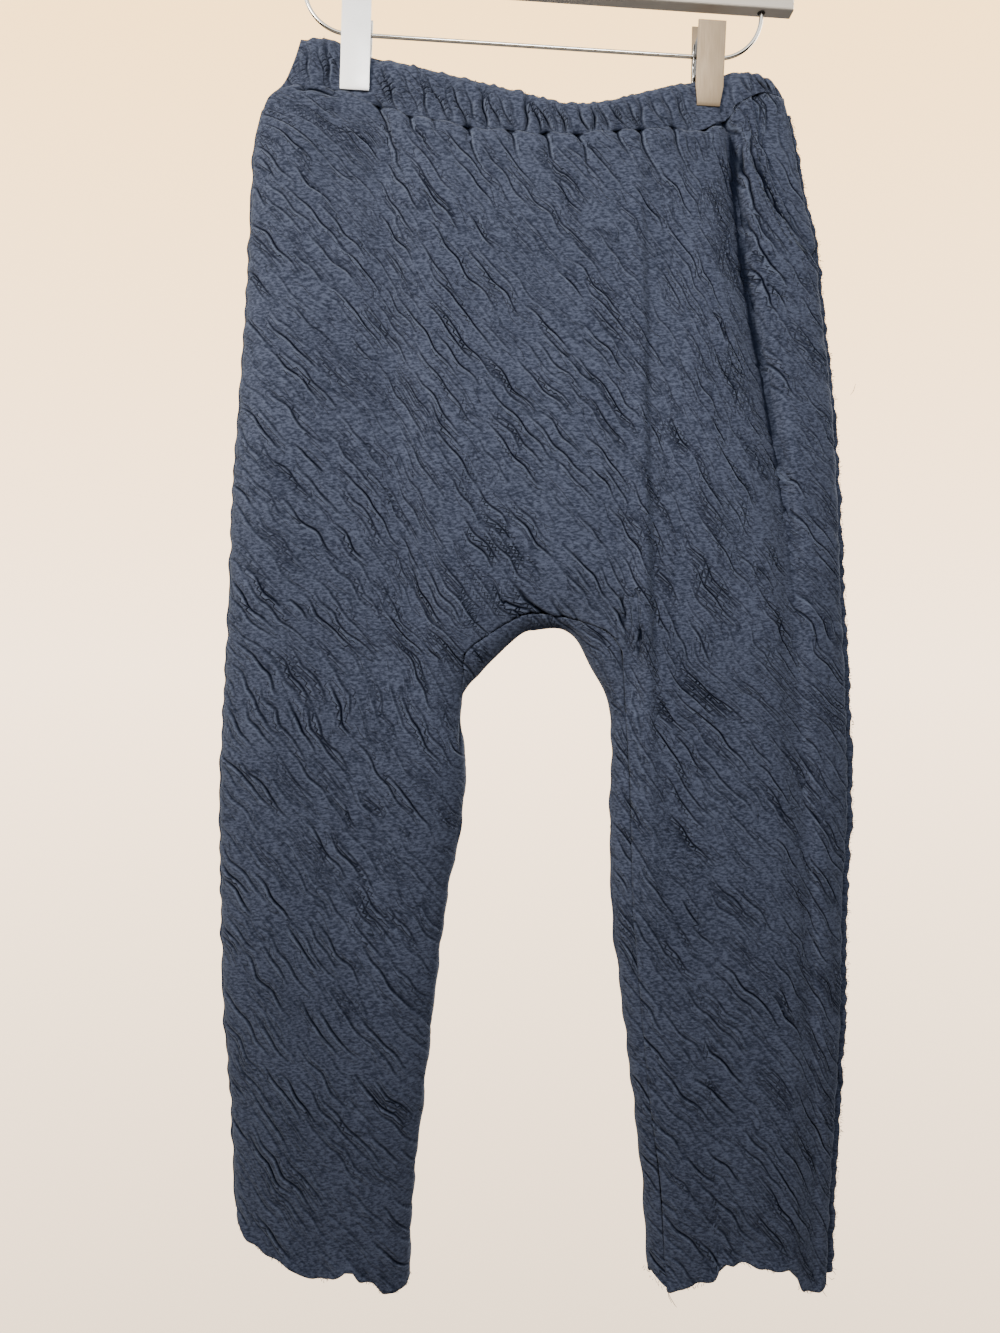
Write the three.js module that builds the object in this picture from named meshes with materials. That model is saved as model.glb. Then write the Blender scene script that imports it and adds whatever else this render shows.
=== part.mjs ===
// Harem pants of crinkled jersey, hanging flat from a hanger with two clips.
// Millimetres, +Z up, the front faces -Y. The origin is the inside top of the hanger's hook.
import * as THREE from "three";

// Cloth
const WALL = 1.8;
const CRINKLE = 1.2;
const BAND_WALL = 4.0;
const HALF_SEAM = 0.15;
const SEAM_GAP = 0.3;
const ROUNDING = 45; // how far in from the silhouette the cloth goes on rounding over
const COLUMN_WOBBLE = 2.4;
const INNER_EDGE_FROM = -480; // below this the line between the legs counts as silhouette
const POCKET_FOOT = -298;
const TURN_SPLIT = -604.5; // where the back piece parts into its two legs

// Hanger, in its own frame before it tips
const HANGER_TILT = 1.9; // degrees, right side lower
const ROD_Z = -134.4;
const ROD_DIAMETER = 3.0;
const ROD_HALF_SPAN = 169;
const ROD_BEND = 33;
const BAR_LENGTH = 384;
const BAR_DEPTH = 12;
const BAR_HEIGHT = 28;
const BAR_UNDERSIDE = -98;
const HOOK_WIRE = 3.6;
const HOOK_RADIUS = 22;
const CLIP_X = 130;
const PLATE_THICKNESS = 1.2;
const JAW_Y = 5.4;
const PLATE_LEAN = 3.5; // degrees, the plates part towards their tops
const CHEEK_THICKNESS = 1.2;
const CHEEK_TOP = -122;
const PINCHES = [-134.5, 126.5]; // where the clips press the waist, as x

// Silhouette, from the waist down
const LEFT_EDGE = [
  { z: -134, x: -175 }, { z: -150, x: -180 }, { z: -168, x: -188 }, { z: -180, x: -200 },
  { z: -216, x: -208.5 }, { z: -253, x: -210.5 }, { z: -325, x: -214 }, { z: -398, x: -219 },
  { z: -471, x: -224 }, { z: -544, x: -226.5 }, { z: -616, x: -230 }, { z: -689, x: -233 },
  { z: -762, x: -232 }, { z: -834, x: -230.5 }, { z: -907, x: -225 }, { z: -980, x: -222 },
  { z: -1055, x: -218 },
];
const RIGHT_EDGE = [
  { z: -148, x: 167 }, { z: -158, x: 176 }, { z: -170, x: 183 }, { z: -205, x: 191 },
  { z: -243, x: 198 }, { z: -280, x: 207 }, { z: -317, x: 210 }, { z: -392, x: 218.5 },
  { z: -467, x: 223 }, { z: -542, x: 226 }, { z: -617, x: 229.5 }, { z: -692, x: 231 },
  { z: -767, x: 227 }, { z: -842, x: 226 }, { z: -917, x: 222 }, { z: -992, x: 217.5 },
  { z: -1055, x: 215 },
];
const LEFT_LEG_INNER = [
  { z: -592, x: -40 }, { z: -599, x: -46 }, { z: -604.5, x: -52 }, { z: -612, x: -57 },
  { z: -631, x: -58.5 }, { z: -661, x: -55 }, { z: -690, x: -56 }, { z: -764, x: -69 },
  { z: -837, x: -78 }, { z: -910, x: -86 }, { z: -983, x: -94 }, { z: -1055, x: -96.5 },
];
const RIGHT_LEG_INNER = [
  { z: -590, x: 36.5 }, { z: -594.6, x: 39 }, { z: -612, x: 49.5 }, { z: -631, x: 53.4 },
  { z: -661, x: 53.4 }, { z: -691, x: 52 }, { z: -765, x: 52.6 }, { z: -839, x: 60.8 },
  { z: -914, x: 69.8 }, { z: -988, x: 78 }, { z: -1055, x: 80.5 },
];
const CROTCH_ARCH = [
  { x: -40, z: -592 }, { x: -25.5, z: -577.6 }, { x: -12, z: -566 }, { x: -3, z: -565 },
  { x: 14, z: -563 }, { x: 23, z: -567.5 }, { x: 29, z: -574 }, { x: 36.5, z: -590 },
];
// Seam in front of the crotch, and the inseam that shows in front on the right leg
const CROTCH_SEAM = [
  { x: -57, z: -583 }, { x: -48, z: -575 }, { x: -33, z: -565 }, { x: -21, z: -558 },
  { x: -8, z: -552.5 }, { x: 18, z: -556 }, { x: 34, z: -560.5 }, { x: 45, z: -565 },
  { x: 53, z: -571.5 }, { x: 59, z: -581.5 },
];
const RIGHT_INSEAM = [
  { z: -581.5, x: 59 }, { z: -631, x: 62 }, { z: -689, x: 65 }, { z: -761, x: 66.5 },
  { z: -834, x: 72.3 }, { z: -906, x: 79 }, { z: -979, x: 88 }, { z: -1055, x: 91.5 },
];
const LEFT_TAPER = { x: -57, z: -600 }; // where the crotch seam leaves the front of the left leg
const LEG_TOP = -617;

// Waist seam, top of the waistband, hems and the pocket's mouth
const WAIST_SEAM = [
  { x: -195, z: -174 }, { x: -173, z: -172 }, { x: -155, z: -173 }, { x: -134, z: -177.5 },
  { x: -115, z: -186 }, { x: -93, z: -193 }, { x: -56, z: -200 }, { x: 0, z: -204 },
  { x: 45, z: -202 }, { x: 72, z: -198 }, { x: 115, z: -196.5 }, { x: 135, z: -188 },
  { x: 150, z: -174 }, { x: 165, z: -168 }, { x: 185, z: -167 },
];
const BAND_TOP = [
  { x: -190, z: -138 }, { x: -172, z: -135.5 }, { x: -160, z: -134.5 }, { x: -145, z: -139 },
  { x: -123, z: -148 }, { x: -88, z: -156 }, { x: -52, z: -163.5 }, { x: -16, z: -171 },
  { x: 24, z: -178.5 }, { x: 43, z: -177 }, { x: 72, z: -170 }, { x: 109, z: -160 },
  { x: 136, z: -153 }, { x: 150, z: -150 }, { x: 165, z: -152 }, { x: 185, z: -156 },
];
const HEM = [
  { x: -222, z: -992 }, { x: -202, z: -1009 }, { x: -176, z: -1023 }, { x: -155, z: -1030 },
  { x: -137, z: -1025 }, { x: -115, z: -1042 }, { x: -97, z: -1042 }, { x: 75, z: -1037 },
  { x: 92, z: -1046 }, { x: 114, z: -1040 }, { x: 130, z: -1028 }, { x: 155, z: -1028 },
  { x: 180, z: -1034 }, { x: 196, z: -1050 }, { x: 216, z: -1049 },
];
const POCKET_MOUTH = [
  { z: -166, x: 155 }, { z: -198, x: 160 }, { z: -234, x: 169.5 }, { z: -252, x: 178 },
  { z: -273, x: 188 }, { z: -286, x: 199 }, { z: -298, x: 208.5 },
];

// How far the cloth stands in front of and behind the middle plane
const SECTIONS = [
  { z: -134, front: 8.5, back: 8.5 }, { z: -176, front: 9, back: 9 },
  { z: -216, front: 13, back: 13 }, { z: -300, front: 17, back: 18 },
  { z: -450, front: 20, back: 21 }, { z: -560, front: 18, back: 21 },
  { z: -690, front: 17, back: 19 }, { z: -900, front: 17, back: 18 },
  { z: -1055, front: 16, back: 17 },
];
// Largest folds: height is positive for a ridge, blunt 2 is a round fold and 4 a flat one
const FOLDS = [
  { side: -1, blunt: 2, path: [
    { z: -178, x: -122, height: 0, width: 14 }, { z: -215, x: -113, height: -4, width: 15 },
    { z: -330, x: -109, height: -5, width: 17 }, { z: -440, x: -102, height: -4.5, width: 18 },
    { z: -545, x: -92, height: -3.5, width: 18 }, { z: -640, x: -88, height: 0, width: 18 } ] },
  { side: -1, blunt: 2, path: [
    { z: -195, x: 70, height: 0, width: 8 }, { z: -240, x: 71, height: 2.5, width: 8 },
    { z: -436, x: 73, height: 4.5, width: 8 }, { z: -545, x: 75.5, height: 5, width: 8 },
    { z: -690, x: 80, height: 3, width: 9 }, { z: -860, x: 90, height: 0, width: 9 } ] },
  { side: -1, blunt: 2, path: [
    { z: -300, x: 112, height: 0, width: 16 }, { z: -430, x: 118, height: 3, width: 16 },
    { z: -600, x: 130, height: 0, width: 16 } ] },
  { side: -1, blunt: 2, path: [
    { z: -176, x: 137, height: -1, width: 8 }, { z: -217, x: 141, height: -7, width: 9 },
    { z: -297, x: 147.5, height: -10.5, width: 11 }, { z: -398, x: 164, height: -10, width: 12 },
    { z: -507, x: 181, height: -8, width: 12 }, { z: -616, x: 188, height: -7, width: 12 },
    { z: -762, x: 197, height: -6, width: 10 }, { z: -908, x: 200, height: -5, width: 9 },
    { z: -1055, x: 203, height: -5, width: 8 } ] },
  { side: -1, blunt: 2, path: [
    { z: -560, x: 66, height: 0, width: 7 }, { z: -590, x: 67, height: -5, width: 7 },
    { z: -640, x: 72, height: 0, width: 7 } ] },
  { side: 1, blunt: 2, path: [
    { z: -190, x: -98, height: 0, width: 14 }, { z: -280, x: -102, height: -5, width: 16 },
    { z: -480, x: -112, height: -6, width: 18 }, { z: -700, x: -132, height: 0, width: 16 } ] },
  { side: 1, blunt: 2, path: [
    { z: -190, x: -8, height: 0, width: 12 }, { z: -300, x: -10, height: 3.5, width: 14 },
    { z: -480, x: -4, height: 4, width: 15 }, { z: -570, x: 0, height: 0, width: 14 } ] },
  { side: 1, blunt: 2, path: [
    { z: -190, x: 98, height: 0, width: 12 }, { z: -300, x: 110, height: -6, width: 15 },
    { z: -480, x: 128, height: -7, width: 17 }, { z: -760, x: 142, height: -3, width: 16 },
    { z: -960, x: 148, height: 0, width: 14 } ] },
  // Both clips press the front and the back of the waist together
  ...[-1, 1].flatMap((side) => PINCHES.map((x) => ({ side, blunt: 4, path: [
    { z: -130, x, height: -4.2, width: 24 }, { z: -185, x, height: -4.4, width: 24 },
    { z: -225, x, height: -3, width: 26 }, { z: -290, x, height: 0, width: 28 } ] }))),
];

// Columns of the front and back pieces: where column lines run, as x at each height
const COLUMNS = 38;
const TORSO_ROWS = 24;
const SPLIT_ROWS = 2;
const LEG_ROWS = 24;
const ROWS = TORSO_ROWS + SPLIT_ROWS + LEG_ROWS;
const LEFT_FORK = 14;
const RIGHT_FORK = 24;
const EDGE_STEPS = [0, 3.5, 9]; // distances of the outermost columns from the silhouette
const FRONT_LINES = [
  { z: -190, c8: -119, c12: -77, c14: -56, c24: 47, c26: 70, c32: 137 },
  { z: -300, c8: -109, c12: -75, c14: -56, c24: 48, c26: 71, c32: 148 },
  { z: -436, c8: -102, c12: -74, c14: -56, c24: 50, c26: 73, c32: 170 },
  { z: -545, c8: -100, c12: -72, c14: -57, c24: 56, c26: 75.5, c32: 184 },
  { z: -583, c8: -105, c12: -70, c14: -57, c24: 59, c26: 77, c32: 187 },
  { z: -617, c8: -116, c12: -68, c14: -57, c24: 61.5, c26: 79, c32: 189 },
  { z: -690, c8: -130, c12: -68, c14: -56, c24: 65, c26: 82, c32: 193 },
  { z: -762, c8: -138, c12: -81, c14: -69, c24: 66.5, c26: 85, c32: 197 },
  { z: -900, c8: -146, c12: -96, c14: -85, c24: 78.4, c26: 96, c32: 200 },
  { z: -1055, c8: -150, c12: -107, c14: -96.5, c24: 91.5, c26: 106, c32: 203 },
];
const BACK_LINES = [
  { z: -190, c8: -98, c12: -62, c14: -43, c24: 42, c26: 60, c32: 112 },
  { z: -300, c8: -102, c12: -62, c14: -42, c24: 40, c26: 60, c32: 124 },
  { z: -480, c8: -112, c12: -60, c14: -41, c24: 38, c26: 58, c32: 140 },
  { z: -592, c8: -122, c12: -58, c14: -40, c24: 36.5, c26: 54, c32: 152 },
  { z: -617, c8: -128, c12: -69, c14: -57, c24: 50.5, c26: 62, c32: 156 },
  { z: -690, c8: -135, c12: -68, c14: -56, c24: 52, c26: 63, c32: 160 },
  { z: -762, c8: -142, c12: -81, c14: -69, c24: 52.6, c26: 64, c32: 162 },
  { z: -900, c8: -146, c12: -96, c14: -85, c24: 68, c26: 79, c32: 164 },
  { z: -1055, c8: -150, c12: -107, c14: -96.5, c24: 80.5, c26: 91, c32: 164 },
];
const GUIDES = [8, 12, 14, 24, 26, 32];

const rad = THREE.MathUtils.degToRad;
const clamp = (value, low = 0, high = 1) => Math.min(high, Math.max(low, value));
const lerp = (a, b, t) => a + (b - a) * t;
const noise = (a, b) => {
  const wave = Math.sin(a * 12.9898 + b * 78.233) * 437.5453;
  return wave - Math.floor(wave);
};

// Value of one column of a table at a key, along straight lines between its rows
function at(table, key, where, column) {
  const falling = table[0][key] > table[table.length - 1][key];
  const rows = falling ? [...table].reverse() : table;
  let last = rows.findIndex((row) => row[key] >= where);
  if (last === 0) return rows[0][column];
  if (last < 0) return rows[rows.length - 1][column];
  const from = rows[last - 1];
  const to = rows[last];
  return lerp(from[column], to[column], (where - from[key]) / (to[key] - from[key]));
}

const leftEdge = (z) => at(LEFT_EDGE, "z", z, "x");
const rightEdge = (z) => at(RIGHT_EDGE, "z", z, "x");
const INNER_CONTOUR = [...LEFT_LEG_INNER].reverse().concat(CROTCH_ARCH.slice(1, -1), RIGHT_LEG_INNER);

// Distance from the line between the legs, positive on the cloth
function innerDistance(x, z) {
  let best = Infinity;
  let side = 1;
  for (let k = 1; k < INNER_CONTOUR.length; k += 1) {
    const a = INNER_CONTOUR[k - 1];
    const b = INNER_CONTOUR[k];
    const dx = b.x - a.x;
    const dz = b.z - a.z;
    const t = clamp(((x - a.x) * dx + (z - a.z) * dz) / (dx * dx + dz * dz));
    const gap = Math.hypot(x - a.x - t * dx, z - a.z - t * dz);
    if (gap < best) {
      best = gap;
      side = dx * (z - a.z) - dz * (x - a.x) >= 0 ? 1 : -1;
    }
  }
  return best * side;
}

// Distance from the silhouette, positive on the cloth
function edgeDistance(x, z) {
  const outer = Math.min(x - leftEdge(z), rightEdge(z) - x);
  return z > INNER_EDGE_FROM ? outer : Math.min(outer, innerDistance(x, z));
}

function foldHeight(fold, x, z) {
  const path = fold.path;
  if (z > path[0].z || z < path[path.length - 1].z) return 0;
  const distance = (x - at(path, "z", z, "x")) / at(path, "z", z, "width");
  return at(path, "z", z, "height") * Math.exp(-(Math.abs(distance) ** fold.blunt));
}

// How far the cloth stands off the middle plane, on the front (side -1) or the back (side 1)
function standOff(side, x, z) {
  const inward = clamp(edgeDistance(x, z) / ROUNDING);
  const dome = Math.sqrt(1 - (1 - inward) ** 2);
  let depth = at(SECTIONS, "z", z, side < 0 ? "front" : "back");
  for (const fold of FOLDS) {
    if (fold.side === side) depth += foldHeight(fold, x, z);
  }
  return dome * depth;
}

// A point of the cloth's outer face and the direction that it faces
function clothPoint(side, x, z) {
  const step = 0.4;
  const edge = edgeDistance(x, z);
  const point = new THREE.Vector3(x, side * (HALF_SEAM + standOff(side, x, z)), z);
  const normal = new THREE.Vector3();
  if (edge < 0.6) {
    const dx = edgeDistance(x + step, z) - edgeDistance(x - step, z);
    const dz = edgeDistance(x, z + step) - edgeDistance(x, z - step);
    normal.set(-dx, 0, -dz);
  } else {
    const dx = standOff(side, x + step, z) - standOff(side, x - step, z);
    const dz = standOff(side, x, z + step) - standOff(side, x, z - step);
    normal.set(-dx, side * 2 * step, -dz);
  }
  return { point, normal: normal.normalize() };
}

// A wall of cloth: an outer face with the crinkle raised on it, a plain inner face and their rim
class Wall {
  constructor(thickness) {
    this.thickness = thickness;
    this.vertices = [];
    this.found = new Map();
    this.outerFaces = [];
    this.innerFaces = [];
  }

  add({ point, normal }, raised = 0) {
    const key = point.toArray().map((value) => value.toFixed(3)).join();
    if (!this.found.has(key)) {
      this.found.set(key, this.vertices.length);
      this.vertices.push({ point, normal, raised });
    }
    return this.found.get(key);
  }

  // grid[i][j] holds vertices. The inner face skips rows by innerStep
  patch(grid, { flip = false, rising = false, innerStep = 2 }) {
    const push = (faces, a, b, c, turned) => {
      if (a !== b && b !== c && c !== a) faces.push(turned ? [a, c, b] : [a, b, c]);
    };
    for (let i = 0; i + 1 < grid.length; i += 1) {
      for (let j = 0; j + 1 < grid[0].length; j += 1) {
        const [a, b, c, d] = [grid[i][j], grid[i + 1][j], grid[i + 1][j + 1], grid[i][j + 1]];
        if (rising) {
          push(this.outerFaces, a, d, b, flip);
          push(this.outerFaces, b, d, c, flip);
        } else {
          push(this.outerFaces, a, d, c, flip);
          push(this.outerFaces, a, c, b, flip);
        }
      }
      for (let j = 0; j + innerStep < grid[0].length; j += innerStep) {
        const [a, b] = [grid[i][j], grid[i + 1][j]];
        const [c, d] = [grid[i + 1][j + innerStep], grid[i][j + innerStep]];
        push(this.innerFaces, a, d, c, !flip);
        push(this.innerFaces, a, c, b, !flip);
      }
    }
  }

  geometry() {
    const count = this.vertices.length;
    const partnered = new Set(this.innerFaces.flat());
    const edges = new Map();
    const key = (a, b) => a * count + b;
    for (const [a, b, c] of this.outerFaces) {
      for (const [from, to] of [[a, b], [b, c], [c, a]]) edges.set(key(from, to), [from, to]);
    }
    const next = new Map();
    for (const [from, to] of edges.values()) {
      if (!edges.has(key(to, from))) next.set(from, to);
    }
    const faces = [...this.outerFaces];
    for (const [a, b, c] of this.innerFaces) faces.push([a + count, b + count, c + count]);
    for (const start of next.keys()) {
      if (!partnered.has(start)) continue;
      const middle = next.get(start);
      if (partnered.has(middle)) {
        faces.push([middle, start, start + count], [middle, start + count, middle + count]);
      } else {
        const end = next.get(middle);
        faces.push([middle, start, start + count], [end, middle, end + count]);
        faces.push([middle, start + count, end + count]);
      }
    }
    const outer = this.vertices.map((v) => v.point.clone().addScaledVector(v.normal, v.raised));
    const inner = this.vertices.map((v) => v.point.clone().addScaledVector(v.normal, -this.thickness));
    return facesGeometry([...outer, ...inner], faces);
  }
}

function facesGeometry(points, faces) {
  const positions = faces.flatMap((face) => face.flatMap((index) => points[index].toArray()));
  const geometry = new THREE.BufferGeometry();
  geometry.setAttribute("position", new THREE.Float32BufferAttribute(positions, 3));
  geometry.computeVertexNormals();
  return geometry;
}

// Column positions across a piece at one height: guide lines, and the silhouette at both ends
function columnX(lines, column, z, right) {
  const knots = [];
  EDGE_STEPS.forEach((step, k) => knots.push([k, leftEdge(z) + step]));
  for (const guide of GUIDES) knots.push([guide, at(lines, "z", z, `c${guide}`)]);
  [...EDGE_STEPS].reverse().forEach((step, k) => knots.push([COLUMNS - 2 + k, right(z) - step]));
  const last = knots.findIndex(([index]) => index >= column);
  if (knots[last][0] === column) return knots[last][1];
  const [fromIndex, fromX] = knots[last - 1];
  const [toIndex, toX] = knots[last];
  return lerp(fromX, toX, (column - fromIndex) / (toIndex - fromIndex));
}

// Height where a column meets the waist seam: the column's x there settles in a few rounds
function waistHeight(lines, column, right) {
  let z = -185;
  for (let round = 0; round < 4; round += 1) {
    z = at(WAIST_SEAM, "x", columnX(lines, column, z, right), "z");
  }
  return z;
}

function hemHeight(lines, column, right) {
  return at(HEM, "x", columnX(lines, column, -1040, right), "z");
}

// One of the two wide pieces as a grid of places: its torso, its legs and their column lines
function placePiece({ lines, right, forkRow, arch }) {
  const places = [];
  for (let i = 0; i <= COLUMNS; i += 1) {
    const top = waistHeight(lines, i, right);
    const hem = hemHeight(lines, i, right);
    const inArch = i >= LEFT_FORK && i <= RIGHT_FORK;
    const share = (i - LEFT_FORK) / (RIGHT_FORK - LEFT_FORK);
    const archX = lerp(arch[0].x, arch[arch.length - 1].x, share);
    const fork = inArch ? at(arch, "x", archX, "z") : forkRow;
    const column = [];
    for (let j = 0; j <= ROWS; j += 1) {
      let z = lerp(top, fork, j / TORSO_ROWS);
      if (j > TORSO_ROWS) z = lerp(fork, LEG_TOP, (j - TORSO_ROWS) / SPLIT_ROWS);
      if (j > TORSO_ROWS + SPLIT_ROWS) {
        z = lerp(LEG_TOP, hem, (j - TORSO_ROWS - SPLIT_ROWS) / LEG_ROWS);
      }
      let x = columnX(lines, i, z, right);
      if (inArch && j <= TORSO_ROWS) {
        const rowLeft = columnX(lines, LEFT_FORK, z, right);
        const rowRight = columnX(lines, RIGHT_FORK, z, right);
        x = j === TORSO_ROWS ? archX : lerp(rowLeft, rowRight, share);
      }
      column.push({ x, z });
    }
    places.push(column);
  }
  return places;
}

// Ridge heights of the crinkle: every second line of the slanted weave, broken and uneven
function crinkle(i, j, lean) {
  const line = i - lean * j;
  if (((line % 2) + 2) % 2 === 1) return 0;
  const stretch = Math.floor((j + 7 * noise(line, 3)) / 3);
  return CRINKLE * (0.25 + 0.75 * noise(line, stretch));
}

function isBorder(i, j) {
  if (i <= 2 || i >= COLUMNS - 1 || j === 0 || j === ROWS) return true;
  const nearFork = i >= LEFT_FORK - 1 && i <= RIGHT_FORK + 1;
  return nearFork && j >= TORSO_ROWS - 1;
}

// Vertices of a piece, with the crinkle and a little unevenness away from its borders
function fillWall(wall, places, side, lean) {
  return places.map((column, i) => column.map(({ x, z }, j) => {
    const fork = i > LEFT_FORK && i < RIGHT_FORK && j > TORSO_ROWS;
    if (fork) return -1;
    if (isBorder(i, j)) return wall.add(hemCurl(clothPoint(side, x, z), side, j, x));
    const wobble = COLUMN_WOBBLE * (noise(i, j) - 0.5);
    return wall.add(clothPoint(side, x + wobble, z), crinkle(i, j, lean));
  }));
}

// The raw hem curls outwards in uneven waves
function hemCurl(sample, side, j, x) {
  if (j !== ROWS) return sample;
  const flare = 2.2 + 1.6 * Math.sin(x / 7);
  const clear = clamp(edgeDistance(x, sample.point.z) / 12);
  sample.point.y += side * flare * clear;
  return sample;
}

function patchPiece(wall, grid, side) {
  const flip = side > 0;
  const rising = side > 0;
  const rows = (first, last, from, to) => grid.slice(first, last + 1).map((c) => c.slice(from, to + 1));
  wall.patch(rows(0, COLUMNS, 0, TORSO_ROWS), { flip, rising });
  wall.patch(rows(0, LEFT_FORK, TORSO_ROWS, ROWS), { flip, rising });
  wall.patch(rows(RIGHT_FORK, COLUMNS, TORSO_ROWS, ROWS), { flip, rising });
}

// A place moved along the surface, away from the silhouette between the legs
function awayFromEdge({ x, z }, distance) {
  const step = 0.5;
  const dx = innerDistance(x + step, z) - innerDistance(x - step, z);
  const dz = innerDistance(x, z + step) - innerDistance(x, z - step);
  const length = Math.hypot(dx, dz) || 1;
  return { x: x + (distance * dx) / length, z: z + (distance * dz) / length };
}

const mouthOrEdge = (z) => Math.min(rightEdge(z), at(POCKET_MOUTH, "z", z, "x"));
const frontRight = (z) => (z < POCKET_FOOT ? rightEdge(z) : mouthOrEdge(z));

const FRONT_PLACES = placePiece({
  lines: FRONT_LINES, right: frontRight, forkRow: -585, arch: CROTCH_SEAM,
});
const BACK_PLACES = placePiece({
  lines: BACK_LINES, right: rightEdge, forkRow: -590, arch: CROTCH_ARCH,
});

// Places of the inseam line on the front, from the left leg over the crotch to the right hem
function seamPlace(i, j) {
  if (i === LEFT_FORK && j === TORSO_ROWS + 1) return LEFT_TAPER;
  if (i === LEFT_FORK && j > TORSO_ROWS) {
    const { z } = FRONT_PLACES[i][j];
    return { x: at(LEFT_LEG_INNER, "z", z, "x"), z };
  }
  if (i === RIGHT_FORK && j > TORSO_ROWS) {
    const z = FRONT_PLACES[i][j].z;
    return { x: at(RIGHT_INSEAM, "z", z, "x"), z };
  }
  return FRONT_PLACES[i][j];
}

function frontPanel() {
  const wall = new Wall(WALL);
  const places = FRONT_PLACES.map((column, i) => column.map((place, j) => {
    const onArch = j === TORSO_ROWS && i >= LEFT_FORK && i <= RIGHT_FORK;
    const onTaper = i === LEFT_FORK && j === TORSO_ROWS + 1;
    const onInseam = i === RIGHT_FORK && j >= TORSO_ROWS;
    if (onArch || onTaper || onInseam) return awayFromEdge(seamPlace(i, j), HALF_SEAM);
    return i === LEFT_FORK && j > TORSO_ROWS ? seamPlace(i, j) : place;
  }));
  const grid = fillWall(wall, places, -1, 1);
  patchPiece(wall, grid, -1);
  return wall.geometry();
}

// The back piece, and its turn round the crotch and the right leg to the seam in front
function backPanel() {
  const wall = new Wall(WALL);
  const places = BACK_PLACES.map((column, i) => column.map((place, j) => {
    if (j <= TORSO_ROWS) return place;
    const z = j < TORSO_ROWS + SPLIT_ROWS ? TURN_SPLIT : place.z;
    if (i === LEFT_FORK) return { x: at(LEFT_LEG_INNER, "z", z, "x"), z };
    if (i === RIGHT_FORK) return { x: at(RIGHT_LEG_INNER, "z", z, "x"), z };
    return place;
  }));
  const grid = fillWall(wall, places, 1, -1);
  patchPiece(wall, grid, 1);

  const turn = (i, j) => {
    const edge = places[i][j];
    if (i === LEFT_FORK && j === TORSO_ROWS + SPLIT_ROWS) return [0, 1, 2].map(() => grid[i][j]);
    const seam = awayFromEdge(seamPlace(i, j), -HALF_SEAM);
    const middle = { x: lerp(edge.x, seam.x, 0.4), z: lerp(edge.z, seam.z, 0.4) };
    const onFront = [middle, seam].map(({ x, z }) => wall.add(clothPoint(-1, x, z)));
    return [grid[i][j], ...onFront];
  };
  const across = (columns) => [0, 1, 2].map((k) => columns.map((column) => column[k]));
  const archTurns = [];
  for (let i = LEFT_FORK; i <= RIGHT_FORK; i += 1) archTurns.push(turn(i, TORSO_ROWS));
  wall.patch(archTurns, { flip: true, innerStep: 1 });
  const leftTurns = [];
  for (let j = TORSO_ROWS; j <= TORSO_ROWS + SPLIT_ROWS; j += 1) leftTurns.push(turn(LEFT_FORK, j));
  wall.patch(across(leftTurns), { flip: true });
  const rightTurns = [];
  for (let j = TORSO_ROWS; j <= ROWS; j += 1) rightTurns.push(turn(RIGHT_FORK, j));
  wall.patch(across(rightTurns), {});
  return wall.geometry();
}

// Facing of the right slash pocket: it lies under the front piece and shows beyond the mouth
function pocketFacing() {
  const columns = 6;
  const rows = 8;
  const under = 14;
  const inset = 2.8;
  const deeperInset = 3;
  const bottom = -302;
  const wall = new Wall(1.6);
  const grid = [];
  for (let i = 0; i <= columns; i += 1) {
    const column = [];
    for (let j = 0; j <= rows; j += 1) {
      let z = lerp(-172, bottom, j / rows);
      const mouth = at(POCKET_MOUTH, "z", z, "x");
      const tuck = clamp((-278 - z) / 12) * 5;
      let x = lerp(mouth - under, rightEdge(z) - tuck, i / columns);
      if (j === 0) {
        z = at(WAIST_SEAM, "x", x, "z");
        x = lerp(mouth - under, rightEdge(z), i / columns);
      }
      const edge = rightEdge(z) - x;
      const sample = clothPoint(-1, x, z);
      const mouthEdge = Math.max(2, rightEdge(z) - mouth - 3);
      const depth = inset + deeperInset * clamp((-262 - z) / 25);
      sample.point.addScaledVector(sample.normal, -depth * clamp(edge / mouthEdge));
      column.push(wall.add(sample));
    }
    grid.push(column);
  }
  wall.patch(grid, {});
  return wall.geometry();
}

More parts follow.
